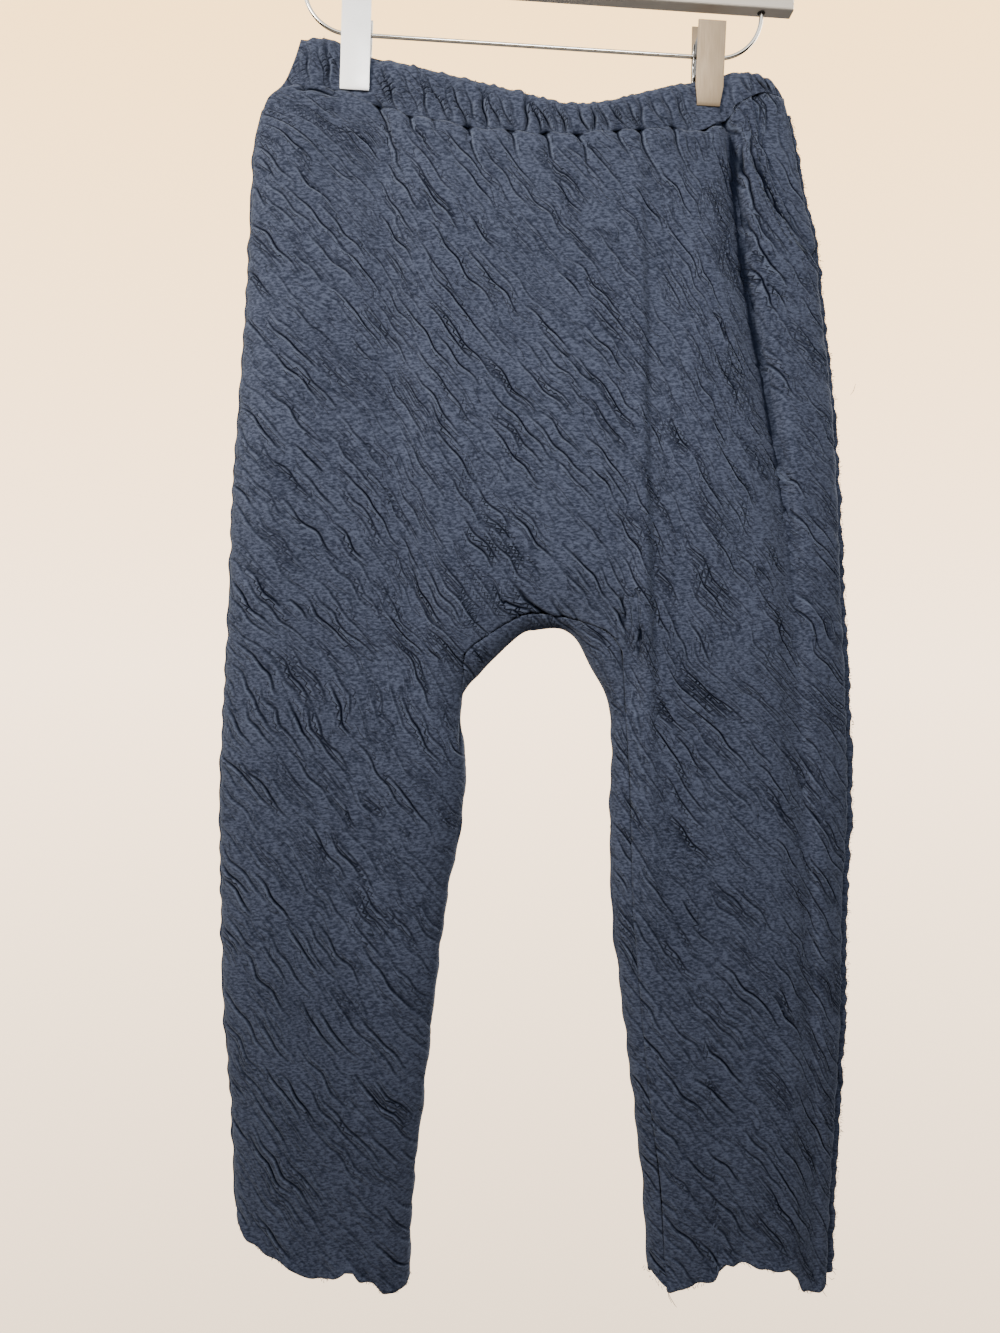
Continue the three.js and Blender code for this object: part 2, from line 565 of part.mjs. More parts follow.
// Waistband: a ring round the waist, its outer face ruffled by the elastic
function waistband() {
  const stationsPerSide = 92;
  const ruffleEvery = 4;
  const endInset = 5.2;
  const seamLine = (side, x) => {
    const places = side < 0 ? FRONT_PLACES : BACK_PLACES;
    const top = places.map((column) => ({ x: column[0].x, z: column[0].z }));
    return x > top[top.length - 1].x ? at(WAIST_SEAM, "x", x, "z") : at(top, "x", x, "z");
  };
  const rings = [];
  for (const side of [-1, 1]) {
    for (let k = 0; k < stationsPerSide; k += 1) {
      const along = k / stationsPerSide;
      const share = side < 0 ? along : 1 - along;
      const eased = lerp(share, (1 - Math.cos(Math.PI * share)) / 2, 0.45);
      const ruffle = k % ruffleEvery === 0 ? 1 : k % ruffleEvery === 2 ? -1 : 0;
      const strength = 0.55 + 0.45 * noise(k, side + 5);
      const place = (height) => {
        let z = -175;
        let x = 0;
        for (let round = 0; round < 5; round += 1) {
          x = lerp(leftEdge(z), rightEdge(z), eased);
          const low = seamLine(side, x) + SEAM_GAP + 0.15;
          const high = at(BAND_TOP, "x", x, "z") + 0.6 * ruffle * strength;
          z = lerp(low, Math.max(high, low + 12), height);
        }
        return { x, z };
      };
      const clipped = PINCHES.some((x) => Math.abs(place(0.5).x - x) < 15);
      const wave = clipped ? 0.12 : 0.75;
      const outer = [0, 0.22, 0.6, 1].map((height, row) => {
        const { x, z } = place(height);
        const out = k === 0 ? 0 : standOff(side, x, z);
        const swell = row === 0 ? 0 : wave * ruffle * strength * clamp(out / 4);
        return new THREE.Vector3(x, side * (out + swell), z);
      });
      const inner = [1, 0].map((height) => {
        const { x, z } = place(height);
        const middle = (leftEdge(z) + rightEdge(z)) / 2;
        const reach = (rightEdge(z) - leftEdge(z)) / 2;
        const inX = middle + ((x - middle) * (reach - endInset)) / reach;
        const out = k === 0 ? 0 : Math.max(0.12, standOff(side, inX, z) - BAND_WALL);
        return new THREE.Vector3(inX, side * out, z);
      });
      rings.push([...outer, ...inner]);
    }
  }
  return ringGeometry(rings);
}

// A closed ring swept through sections that all have the same number of points
function ringGeometry(rings) {
  const size = rings[0].length;
  const faces = [];
  rings.forEach((ring, k) => {
    const following = (k + 1) % rings.length;
    for (let m = 0; m < size; m += 1) {
      const n = (m + 1) % size;
      const [a, b] = [k * size + m, k * size + n];
      const [c, d] = [following * size + n, following * size + m];
      faces.push([a, d, c], [a, c, b]);
    }
  });
  return facesGeometry(rings.flat(), faces);
}

// A bar of cloth swept down through four-cornered sections and closed at both ends
function stripGeometry(sections) {
  const points = sections.flat();
  const size = sections[0].length;
  const faces = [];
  for (let k = 0; k + 1 < sections.length; k += 1) {
    for (let m = 0; m < size; m += 1) {
      const n = (m + 1) % size;
      const [a, b, c, d] = [k * size + m, k * size + n, (k + 1) * size + n, (k + 1) * size + m];
      faces.push([a, c, b], [a, d, c]);
    }
  }
  const last = (sections.length - 1) * size;
  for (let m = 1; m + 1 < size; m += 1) {
    faces.push([0, m, m + 1], [last, last + m + 1, last + m]);
  }
  return facesGeometry(points, faces);
}

// Raw seam allowance of the right side: it stands out from the seam and waves a little
function rightAllowance() {
  const rows = 50;
  const thick = 1.0;
  const sections = [];
  for (let k = 0; k <= rows; k += 1) {
    const z = lerp(-180, -1046, k / rows);
    const width = 2.6 + 2.6 * clamp((-250 - z) / 500) + 1.3 * (noise(k, 11) - 0.5);
    const sway = 1.3 * Math.sin(k * 1.7) + 0.9;
    const x = rightEdge(z) + SEAM_GAP;
    sections.push([
      new THREE.Vector3(x, -thick, z),
      new THREE.Vector3(x + width, -thick + sway, z),
      new THREE.Vector3(x + width, thick + sway, z),
      new THREE.Vector3(x, thick, z),
    ]);
  }
  return stripGeometry(sections);
}

// Raw seam allowance of the left side: it is folded back and lies on the back piece
function leftAllowance() {
  const thick = 1.6;
  const lift = 0.4;
  const sections = [];
  for (let row = 1; row < ROWS; row += 1) {
    const [seam, bend, beyond] = [0, 1, 2].map((column) => BACK_PLACES[column][row]);
    const free = { x: lerp(bend.x, beyond.x, 0.85), z: lerp(bend.z, beyond.z, 0.85) };
    const reach = [seam, bend, free].map(({ x, z }) => clothPoint(1, x, z));
    const out = (sample, distance) => sample.point.clone().addScaledVector(sample.normal, distance);
    const near = reach.map((sample) => out(sample, lift));
    const far = reach.map((sample) => out(sample, lift + thick));
    sections.push([near[1], near[2], far[2], far[1], far[0], near[0]]);
  }
  return stripGeometry(sections);
}

// A round wire along a curve through points
function wireGeometry(points, diameter, steps) {
  const sides = 8;
  const circle = new THREE.Shape();
  for (let k = 0; k < sides; k += 1) {
    const angle = (2 * Math.PI * (k + 0.5)) / sides;
    const [x, y] = [(diameter / 2) * Math.cos(angle), (diameter / 2) * Math.sin(angle)];
    if (k === 0) circle.moveTo(x, y);
    else circle.lineTo(x, y);
  }
  circle.closePath();
  const extrudePath = new THREE.CatmullRomCurve3(points, false, "centripetal");
  return new THREE.ExtrudeGeometry(circle, { steps, extrudePath, bevelEnabled: false });
}

// Wire rod: straight between the clips, both ends bent up into the bar
function rodGeometry() {
  const corner = ROD_HALF_SPAN - ROD_BEND;
  const bendSteps = 8;
  const points = [new THREE.Vector3(-ROD_HALF_SPAN, 0, BAR_UNDERSIDE - SEAM_GAP)];
  for (let k = 0; k <= bendSteps; k += 1) {
    const angle = (Math.PI / 2) * (k / bendSteps);
    const x = -corner - ROD_BEND * Math.cos(angle);
    points.push(new THREE.Vector3(x, 0, ROD_Z + ROD_BEND * (1 - Math.sin(angle))));
  }
  points.push(new THREE.Vector3(-corner / 2, 0, ROD_Z));
  const mirrored = points.map((point) => new THREE.Vector3(-point.x, 0, point.z)).reverse();
  return wireGeometry([...points, ...mirrored], ROD_DIAMETER, 48);
}

// Hook: a stem out of the bar, a bend to one side and an arch over the origin
function hookGeometry() {
  const centre = HOOK_WIRE / 2 - HOOK_RADIUS;
  const stem = BAR_UNDERSIDE + BAR_HEIGHT + SEAM_GAP;
  const onArch = (angle) => new THREE.Vector3(
    HOOK_RADIUS * Math.cos(rad(angle)), 0, centre + HOOK_RADIUS * Math.sin(rad(angle)),
  );
  const points = [
    new THREE.Vector3(0, 0, stem),
    new THREE.Vector3(0, 0, stem + 9),
    new THREE.Vector3(3, 0, stem + 17),
    new THREE.Vector3(12, 0, stem + 24),
  ];
  for (let angle = -28; angle <= 206; angle += 13) points.push(onArch(angle));
  return wireGeometry(points, HOOK_WIRE, 40);
}

function roundedRectangle(width, height, radius, foot = width) {
  const shape = new THREE.Shape();
  const [w, f, h] = [width / 2, foot / 2, height];
  shape.moveTo(-f, 0);
  shape.lineTo(f, 0);
  shape.lineTo(w, Math.min(14, h / 4));
  shape.lineTo(w, h - radius);
  shape.quadraticCurveTo(w, h, w - radius, h);
  shape.lineTo(-w + radius, h);
  shape.quadraticCurveTo(-w, h, -w, h - radius);
  shape.lineTo(-w, Math.min(14, h / 4));
  shape.closePath();
  return shape;
}

function barGeometry() {
  const bevel = 1.2;
  const shape = new THREE.Shape();
  const [halfLength, top] = [BAR_LENGTH / 2 - bevel, BAR_UNDERSIDE + BAR_HEIGHT - bevel];
  shape.moveTo(-halfLength, BAR_UNDERSIDE + bevel);
  shape.lineTo(halfLength, BAR_UNDERSIDE + bevel);
  shape.lineTo(halfLength, top);
  shape.lineTo(-halfLength, top);
  shape.closePath();
  const geometry = new THREE.ExtrudeGeometry(shape, {
    depth: BAR_DEPTH - 2 * bevel, bevelThickness: bevel, bevelSize: bevel, bevelSegments: 2,
  });
  geometry.rotateX(Math.PI / 2);
  geometry.translate(0, BAR_DEPTH / 2 - bevel, 0);
  return geometry;
}

// The two plates of a clip: the plain long one, and the short one whose foot is narrower
const LONG_PLATE = { width: 21.2, height: 68, foot: 21.2, radius: 0.8 };
const SHORT_PLATE = { width: 20.8, height: 61, foot: 17.4, radius: 1.6 };

function plateGeometry(plate, side, footZ) {
  const shape = roundedRectangle(plate.width, plate.height, plate.radius, plate.foot);
  const geometry = new THREE.ExtrudeGeometry(shape, {
    depth: PLATE_THICKNESS, bevelEnabled: false, curveSegments: 3,
  });
  geometry.rotateX(Math.PI / 2);
  geometry.translate(0, side < 0 ? 0 : PLATE_THICKNESS, 0);
  geometry.rotateX(side * -rad(PLATE_LEAN));
  geometry.translate(0, side * JAW_Y, footZ);
  return geometry;
}

// Side cheek of a clip, with a hole for the rod
function cheekGeometry(footZ, topZ, jawZ) {
  const slope = Math.tan(rad(PLATE_LEAN));
  const halfAt = (z) => JAW_Y + (z - jawZ) * slope - SEAM_GAP - 0.1;
  const shape = new THREE.Shape();
  shape.moveTo(-halfAt(footZ), footZ);
  shape.lineTo(halfAt(footZ), footZ);
  shape.lineTo(halfAt(topZ), topZ);
  shape.lineTo(-halfAt(topZ), topZ);
  shape.closePath();
  const hole = new THREE.Path();
  hole.absarc(0, ROD_Z, ROD_DIAMETER / 2 + 0.6, 0, 2 * Math.PI, true);
  shape.holes.push(hole);
  const geometry = new THREE.ExtrudeGeometry(shape, {
    depth: CHEEK_THICKNESS, bevelEnabled: false, curveSegments: 10,
  });
  geometry.rotateX(Math.PI / 2);
  geometry.rotateZ(Math.PI / 2);
  return geometry;
}

// Spring round the rod, as the sleeve that its turns fill
function springGeometry() {
  const inner = ROD_DIAMETER / 2 + 0.5;
  const outer = inner + 1.5;
  const half = 8.1;
  const profile = [[inner, -half], [outer, -half], [outer, half], [inner, half], [inner, -half]];
  const geometry = new THREE.LatheGeometry(profile.map(([r, y]) => new THREE.Vector2(r, y)), 12);
  geometry.rotateZ(Math.PI / 2);
  geometry.translate(0, 0, ROD_Z);
  return geometry;
}

const JERSEY = new THREE.MeshStandardMaterial({ color: 0x4a5364, roughness: 0.95, metalness: 0 });
const SATIN = new THREE.MeshStandardMaterial({ color: 0xd9d8d6, roughness: 0.42, metalness: 0.9 });
const CHROME = new THREE.MeshStandardMaterial({ color: 0xd8d5cf, roughness: 0.12, metalness: 1 });
const BLACK = new THREE.MeshStandardMaterial({ color: 0x1b1b1b, roughness: 0.5, metalness: 0.2 });
const LACQUER = new THREE.MeshStandardMaterial({ color: 0xf0ece6, roughness: 0.35, metalness: 0 });

function named(name, geometry, material) {
  const mesh = new THREE.Mesh(geometry, material);
  mesh.name = name;
  return mesh;
}

function clip(name, x, long, jawZ, cheekFeet) {
  const group = new THREE.Group();
  group.position.x = x;
  const front = long ? LONG_PLATE : SHORT_PLATE;
  const back = long ? SHORT_PLATE : LONG_PLATE;
  group.add(named(`${name}_front_plate`, plateGeometry(front, -1, jawZ), SATIN));
  group.add(named(`${name}_back_plate`, plateGeometry(back, 1, jawZ), SATIN));
  for (const [label, offset, footZ] of [["left", -9.6, cheekFeet[0]], ["right", 8.4, cheekFeet[1]]]) {
    const cheek = named(`${name}_${label}_cheek`, cheekGeometry(footZ, CHEEK_TOP, jawZ), BLACK);
    cheek.position.x = offset;
    group.add(cheek);
  }
  group.add(named(`${name}_spring`, springGeometry(), CHROME));
  return group;
}

function hanger() {
  const group = new THREE.Group();
  group.rotation.y = rad(HANGER_TILT);
  group.add(named("hanger_bar", barGeometry(), LACQUER));
  group.add(named("hanger_rod", rodGeometry(), CHROME));
  group.add(clip("clip_left", -CLIP_X, true, -178, [-141, -143]));
  group.add(clip("clip_right", CLIP_X, false, -173.2, [-149, -145.5]));
  return group;
}

const pants = new THREE.Group();
pants.add(named("front_panel", frontPanel(), JERSEY));
pants.add(named("back_panel", backPanel(), JERSEY));
pants.add(named("waistband", waistband(), JERSEY));
pants.add(named("pocket_facing_right", pocketFacing(), JERSEY));
pants.add(named("seam_allowance_right", rightAllowance(), JERSEY));
pants.add(named("seam_allowance_left", leftAllowance(), JERSEY));

const part = new THREE.Group();
part.add(pants, hanger(), named("hanger_hook", hookGeometry(), CHROME));

export default part;
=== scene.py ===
import math

import bmesh
import bpy
import numpy as np
from mathutils import Matrix, Vector


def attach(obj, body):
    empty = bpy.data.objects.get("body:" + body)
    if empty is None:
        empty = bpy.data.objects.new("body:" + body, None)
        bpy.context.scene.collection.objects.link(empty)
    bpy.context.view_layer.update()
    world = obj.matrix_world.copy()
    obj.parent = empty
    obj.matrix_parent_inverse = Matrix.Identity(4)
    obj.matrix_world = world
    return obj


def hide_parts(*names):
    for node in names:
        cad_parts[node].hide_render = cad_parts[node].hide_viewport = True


bl_info = {
    "name": "Harem pants on a clip hanger",
    "version": (1, 0, 0),
    "blender": (4, 5, 0),
    "location": "View3D > Sidebar > Pants",
    "description": "Crinkled jersey trousers hanging from a bar hanger with two clips",
    "category": "Object",
}

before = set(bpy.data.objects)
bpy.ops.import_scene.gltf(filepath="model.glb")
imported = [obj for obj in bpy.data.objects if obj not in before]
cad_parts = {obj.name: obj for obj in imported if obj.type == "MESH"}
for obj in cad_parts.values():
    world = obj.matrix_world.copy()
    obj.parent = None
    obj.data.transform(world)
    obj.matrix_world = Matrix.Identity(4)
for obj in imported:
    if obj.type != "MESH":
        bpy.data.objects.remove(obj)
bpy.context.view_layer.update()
MM = 0.001

# Cloth sizes in millimetres, as in the solids
WALL = 1.8
BAND_WALL = 4.0
SEAM_GAP = 0.3
ROUNDING = 45.0
POCKET_FOOT = -298.0
COLUMNS = 38
LEFT_FORK = 14
RIGHT_FORK = 24
EDGE_STEPS = (0.0, 3.5, 9.0)
INNER_SKIP = 4  # the inner face takes every fourth place of the outer one
CLIP_GRIPS = (-134.5, 126.5)  # x where the clips press the band flat
MID_GAP = 0.15  # from the middle plane to each panel, where they lie closest
NO_LINE = 9.0  # a distance at which no crease line shows
LINE_FADE = (2.4, 3.6)  # a crease line is kept to this distance and fades

# Widths and lengths in millimetres that the panels' mesh steps are counted from
PANEL_WIDTHS = {-1: (158.0, 104.0, 160.0), 1: (165.0, 84.0, 172.0)}
TORSO_LENGTH = 398
LEG_LENGTH = 455
ROW_STRETCH = 1.08
ARCH_SHARE = 0.34  # how much of the strip's steps go over the crotch arch

# Hanger sizes in millimetres, before it tips
HANGER_TILT = 1.9
ROD_Z = -134.4
ROD_HALF_SPAN = 169.0
ROD_BEND = 33.0
BAR_UNDERSIDE = -98.0
BAR_TOP = -70.0
CLIP_X = 130.0
JAW_Y = 5.4
PLATE_LEAN = 3.5
PLATE_THICKNESS = 1.2
COIL_RADIUS = 2.55
SPRING_WIRE = 0.55
SPRING_LEG = (-126.0, -160.0)
HOOK_RADIUS = 22
HOOK_WIRE = 1.8

# The photo's camera, from its vanishing lines
PHOTO_FOCAL = 1007.0
PHOTO_HEIGHT = 1333.0
SENSOR = 36.0

# Silhouette, from the waist down
LEFT_EDGE = [
    (-134, -175), (-150, -180), (-168, -188), (-180, -200), (-216, -208.5), (-253, -210.5),
    (-325, -214), (-398, -219), (-471, -224), (-544, -226.5), (-616, -230), (-689, -233),
    (-762, -232), (-834, -230.5), (-907, -225), (-980, -222), (-1055, -218),
]
RIGHT_EDGE = [
    (-148, 167), (-158, 176), (-170, 183), (-205, 191), (-243, 198), (-280, 207), (-317, 210),
    (-392, 218.5), (-467, 223), (-542, 226), (-617, 229.5), (-692, 231), (-767, 227),
    (-842, 226), (-917, 222), (-992, 217.5), (-1055, 215),
]
LEFT_LEG_INNER = [
    (-592, -40), (-599, -46), (-604.5, -52), (-612, -57), (-631, -58.5), (-661, -55),
    (-690, -56), (-764, -69), (-837, -78), (-910, -86), (-983, -94), (-1055, -96.5),
]
RIGHT_LEG_INNER = [
    (-590, 36.5), (-594.6, 39), (-612, 49.5), (-631, 53.4), (-661, 53.4), (-691, 52),
    (-765, 52.6), (-839, 60.8), (-914, 69.8), (-988, 78), (-1055, 80.5),
]
CROTCH_ARCH = [
    (-40, -592), (-25.5, -577.6), (-12, -566), (-3, -565), (14, -563), (23, -567.5),
    (29, -574), (36.5, -590),
]
CROTCH_SEAM = [
    (-57, -583), (-48, -575), (-33, -565), (-21, -558), (-8, -552.5), (18, -556),
    (34, -560.5), (45, -565), (53, -571.5), (59, -581.5),
]
RIGHT_INSEAM = [
    (-581.5, 59), (-631, 62), (-689, 65), (-761, 66.5), (-834, 72.3), (-906, 79),
    (-979, 88), (-1055, 91.5),
]
FRONT_LEFT_FORK = [(-583, -57), (-600, -57), (-612, -57)]
WAIST_SEAM = [
    (-195, -174), (-173, -172), (-155, -173), (-134, -177.5), (-115, -186), (-93, -193),
    (-56, -200), (0, -204), (45, -202), (72, -198), (115, -196.5), (135, -188), (150, -174),
    (165, -168), (185, -167),
]
BAND_TOP = [
    (-190, -138), (-172, -135.5), (-160, -134.5), (-145, -139), (-123, -148), (-88, -156),
    (-52, -163.5), (-16, -171), (24, -178.5), (43, -177), (72, -170), (109, -160),
    (136, -153), (150, -150), (165, -152), (185, -156),
]
HEM = [
    (-222, -990), (-213.5, -1000), (-203.7, -1007), (-188, -1016), (-173.4, -1023.4),
    (-165.6, -1026), (-155.7, -1030), (-146.5, -1026.4), (-136.5, -1023), (-131, -1030),
    (-123, -1034), (-115, -1041.7), (-106, -1042.7), (-98, -1041.6), (-93, -1032),
    (76, -1037), (81, -1042), (88, -1045.5), (93, -1047.8), (100, -1046), (110, -1044),
    (120, -1040), (127, -1036.5), (130.5, -1028), (142, -1027), (153, -1028.6),
    (169, -1033.5), (180, -1033), (187.6, -1036.3), (189, -1046.5), (192, -1051),
    (199.5, -1053.5), (207.7, -1053), (216, -1051.8),
]
POCKET_MOUTH = [
    (-166, 155), (-198, 160), (-234, 169.5), (-252, 178), (-273, 188), (-286, 199),
    (-298, 208.5),
]

# How far the cloth stands in front of and behind the middle plane, by height
STAND_OFF = {
    -1: [(-134, 8.5), (-176, 9), (-216, 13), (-300, 17), (-450, 20), (-560, 18), (-690, 17),
         (-900, 17), (-1055, 16)],
    1: [(-134, 8.5), (-176, 9), (-216, 13), (-300, 18), (-450, 21), (-560, 21), (-690, 19),
        (-900, 18), (-1055, 17)],
}
# Largest folds: side, bluntness, and a path of z, x, fold height and width
RIDGE = [
    (-195, 70, 0, 8), (-240, 71, 2.5, 8), (-436, 73, 4.5, 8), (-545, 75.5, 5, 8),
    (-690, 80, 3, 9), (-860, 90, 0, 9),
]
ROLL = [
    (-176, 139, -1, 8), (-217, 143, -7, 9), (-297, 150, -10.5, 11), (-398, 167, -10, 12),
    (-507, 184, -8, 12), (-616, 191, -7, 12), (-762, 199, -6, 10), (-908, 202, -5, 9),
    (-1055, 204, -5, 8),
]
LONG_FOLDS = [
    (-1, 2, [(-178, -122, 0, 14), (-215, -113, -4, 15), (-330, -109, -5, 17),
             (-440, -102, -4.5, 18), (-545, -92, -3.5, 18), (-640, -88, 0, 18)]),
    (-1, 2, RIDGE),
    (-1, 2, [(-300, 112, 0, 16), (-430, 118, 3, 16), (-600, 130, 0, 16)]),
    (-1, 2, ROLL),
    (-1, 2, [(-560, 66, 0, 7), (-590, 67, -5, 7), (-640, 72, 0, 7)]),
    (1, 2, [(-190, -98, 0, 14), (-280, -102, -5, 16), (-480, -112, -6, 18),
            (-700, -132, 0, 16)]),
    (1, 2, [(-190, -8, 0, 12), (-300, -10, 3.5, 14), (-480, -4, 4, 15), (-570, 0, 0, 14)]),
    (1, 2, [(-190, 98, 0, 12), (-300, 110, -6, 15), (-480, 128, -7, 17), (-760, 142, -3, 16),
            (-960, 148, 0, 14)]),
]
PRESSED_BY_CLIPS = [
    (side, 4, [(-130, x, -4.2, 24), (-185, x, -4.4, 24), (-225, x, -3, 26), (-290, x, 0, 28)])
    for side in (-1, 1) for x in CLIP_GRIPS
]
FOLDS = LONG_FOLDS + PRESSED_BY_CLIPS

# Column lines of the front and the back: height, then x of columns 8, 12, 14, 24, 26 and 32
GUIDES = (8, 12, 14, 24, 26, 32)
COLUMN_LINES = {
    -1: [(-190, -119, -77, -56, 47, 70, 137), (-300, -109, -75, -56, 48, 71, 148),
         (-436, -102, -74, -56, 50, 73, 170), (-545, -100, -72, -57, 56, 75.5, 184),
         (-583, -105, -70, -57, 59, 77, 187), (-617, -116, -68, -57, 61.5, 79, 189),
         (-690, -130, -68, -56, 65, 82, 193), (-762, -138, -81, -69, 66.5, 85, 197),
         (-900, -146, -96, -85, 78.4, 96, 200), (-1055, -150, -107, -96.5, 91.5, 106, 203)],
    1: [(-190, -98, -62, -43, 42, 60, 112), (-300, -102, -62, -42, 40, 60, 124),
        (-480, -112, -60, -41, 38, 58, 140), (-592, -122, -58, -40, 36.5, 54, 152),
        (-617, -128, -69, -57, 50.5, 62, 156), (-690, -135, -68, -56, 52, 63, 160),
        (-762, -142, -81, -69, 52.6, 64, 162), (-900, -146, -96, -85, 68, 79, 164),
        (-1055, -150, -107, -96.5, 80.5, 91, 164)],
}
# Waist gathers seen in front: x of the dimple, how deep, and how far its tuck falls
DIMPLES = [
    (-173, 0.5, 12), (-151, 0.4, 10), (-119, 1.2, 46), (-96, 0.9, 30), (-79, 0.6, 20),
    (-54, 1.4, 52), (-23, 1.1, 26), (2, 1.5, 60), (26, 1.4, 48), (55, 1.1, 30),
    (72, 1.3, 64), (97, 1.0, 44), (122, 0.7, 24), (137, 1.2, 40), (153, 0.5, 16),
]
BACK_DIMPLES = [
    (-160, 0.6, 16), (-128, 1.2, 44), (-101, 1.4, 58), (-76, 0.8, 24), (-48, 1.2, 40),
    (-20, 0.9, 30), (6, 1.1, 42), (33, 1.0, 32), (58, 1.3, 46), (88, 1.1, 36),
    (112, 1.1, 44), (139, 0.9, 26), (163, 0.6, 16),
]
# Creases listed in front: strength, width and a path of x and z
FRONT_CREASES = [
    (2.2, 1.6, [(-22, -533), (-12, -543), (-3, -550), (6, -557), (12, -563)]),
    (1.0, 1.3, [(-33, -541), (-22, -548), (-8, -551)]),
    (2.4, 1.8, [(66, -538), (67.5, -550), (69, -566), (70.5, -584)]),
    (1.5, 1.4, [(59, -541), (60, -552), (58.5, -563)]),
    (1.2, 1.4, [(50, -549), (57, -556), (62, -568)]),
    (1.6, 1.5, [(-176, -176), (-164, -175.5), (-150, -179)]),
    (1.3, 1.5, [(118, -197), (127, -191), (139, -190)]),
    (1.4, 1.5, [(147, -206), (149, -228), (156, -252), (163, -270)]),
    (1.3, 1.4, [(152, -200), (157, -222), (166, -246), (178, -264)]),
    (1.5, 1.5, [(158, -212), (164, -236), (174, -256), (191, -279)]),
    (1.0, 1.3, [(151, -262), (158, -284), (170, -300), (180, -313)]),
    (1.1, 1.3, [(154, -296), (163, -316), (172, -334)]),
    (0.8, 1.4, [(-112, -192), (-111, -208), (-105, -222), (-101, -236)]),
    (0.5, 1.3, [(-108, -246), (-104, -262), (-103, -276), (-96, -294)]),
    (0.9, 1.3, [(-52, -612), (-57, -628), (-60, -652)]),
    (0.45, 1.3, [(66, -600), (70, -632), (74, -660), (75, -690)]),
]
BACK_CREASES = [
    (0.8, 1.5, [(-4, -212), (-6, -228), (2, -246), (1, -262), (8, -284)]),
    (1.6, 1.6, [(8, -520), (0, -542), (-6, -560)]),
    (1.3, 1.5, [(-108, -205), (-104, -232), (-106, -262)]),
    (0.8, 1.4, [(104, -207), (103, -224), (112, -244), (113, -262), (122, -290)]),
    (1.1, 1.4, [(-40, -560), (-52, -578), (-60, -600)]),
    (1.1, 1.4, [(34, -562), (46, -580), (54, -604)]),
]


def linear(hex_colour):
    """An sRGB hex value as linear colour with alpha."""
    value = hex_colour.lstrip("#")
    channels = [int(value[k:k + 2], 16) / 255 for k in (0, 2, 4)]
    return tuple(c / 12.92 if c <= 0.04045 else ((c + 0.055) / 1.055) ** 2.4 for c in channels) + (1.0,)


class PantsSizes(bpy.types.PropertyGroup):
    crease_height: bpy.props.FloatProperty(
        name="Crease height",
        description="How high the main creases of the crinkle stand",
        default=1.3 * MM, min=0.0, max=3 * MM, subtype="DISTANCE", unit="LENGTH",
    )
    crease_spacing: bpy.props.FloatProperty(
        name="Crease spacing",
        description="Mean distance across from one crease to the next",
        default=7.0 * MM, min=4 * MM, max=30 * MM, subtype="DISTANCE", unit="LENGTH",
    )
    crease_slant: bpy.props.FloatProperty(
        name="Crease slant",
        description="Angle of the creases below level, falling to the right",
        default=math.radians(50), min=0.2, max=1.5, subtype="ANGLE", unit="ROTATION",
    )
    cell: bpy.props.FloatProperty(
        name="Mesh step",
        description="Distance from point to point across the cloth",
        default=1.85 * MM, min=1.6 * MM, max=20 * MM, subtype="DISTANCE", unit="LENGTH",
    )
    rod_diameter: bpy.props.FloatProperty(
        name="Rod diameter",
        description="Thickness of the hanger's wire rod",
        default=3.0 * MM, min=1 * MM, max=6 * MM, subtype="DISTANCE", unit="LENGTH",
    )


def colour_property(name, description, value):
    return bpy.props.FloatVectorProperty(
        name=name, description=description, subtype="COLOR", size=3, min=0.0, max=1.0,
        default=linear(value)[:3],
    )


class PantsColours(bpy.types.PropertyGroup):
    jersey_light: colour_property("Jersey, light yarn", "The paler fibre of the marl", "#52596C")
    jersey_dark: colour_property("Jersey, dark yarn", "The darker fibre of the marl", "#242A3B")
    # Painted shade: the colour that grooves and crease lines are darkened towards
    jersey_painted_shade: colour_property("Jersey, in creases", "The yarn deep in a crease", "#0B111E")
    # Painted highlight: the colour of the lit flank beside each main crease
    jersey_painted_highlight: colour_property("Jersey, on ridges", "The nap on a crease's lit flank", "#7C879C")
    thread: colour_property("Sewing thread", "Topstitch thread", "#39424F")
    aluminium: colour_property("Aluminium", "Blasted clip plates", "#FFFEFC")
    # Painted shade: a darker, warmer copy of the clip aluminium for the right clip's plates
    rolled: colour_property("Rolled aluminium", "Plain clip plates", "#9C876B")
    chrome: colour_property("Chrome", "Wire rod and hook", "#D9D6D0")
    cheek: colour_property("Black cheek", "Sides of the clips", "#1B1A19")
    lacquer: colour_property("White lacquer", "Hanger bar", "#F3E6D3")
    floor: colour_property("Floor", "Plain floor", "#DDD4C8")


def sizes():
    return bpy.context.scene.pants_sizes


def colours():
    return bpy.context.scene.pants_colours


def tint(name):
    """One of the part's colours with alpha, for a shader socket."""
    return tuple(getattr(colours(), name)) + (1.0,)


def along(where, rows, column=1, key=0):
    """One column of a table at a key, with no corner at the rows."""
    ordered = sorted(rows, key=lambda row: row[key])
    keys = np.array([row[key] for row in ordered], float)
    values = np.array([row[column] for row in ordered], float)
    where = np.clip(np.asarray(where, float), keys[0], keys[-1])
    rise = np.diff(values) / np.diff(keys)
    before, after = rise[:-1], rise[1:]
    slope = np.zeros(len(keys))
    slope[1:-1] = np.where(before * after > 0, 2 * before * after / (before + after + 1e-12), 0)
    slope[0], slope[-1] = rise[0], rise[-1]
    k = np.clip(np.searchsorted(keys, where) - 1, 0, len(keys) - 2)
    h = keys[k + 1] - keys[k]
    t = (where - keys[k]) / h
    a = (1 + 2 * t) * (1 - t) ** 2 * values[k] + t ** 2 * (3 - 2 * t) * values[k + 1]
    return a + h * (t * (1 - t) ** 2 * slope[k] - t ** 2 * (1 - t) * slope[k + 1])


def straight(where, rows, column=1, key=0):
    """One column of a table at a key, in straight runs from row to row."""
    ordered = sorted(rows, key=lambda row: row[key])
    return np.interp(where, [row[key] for row in ordered], [row[column] for row in ordered])


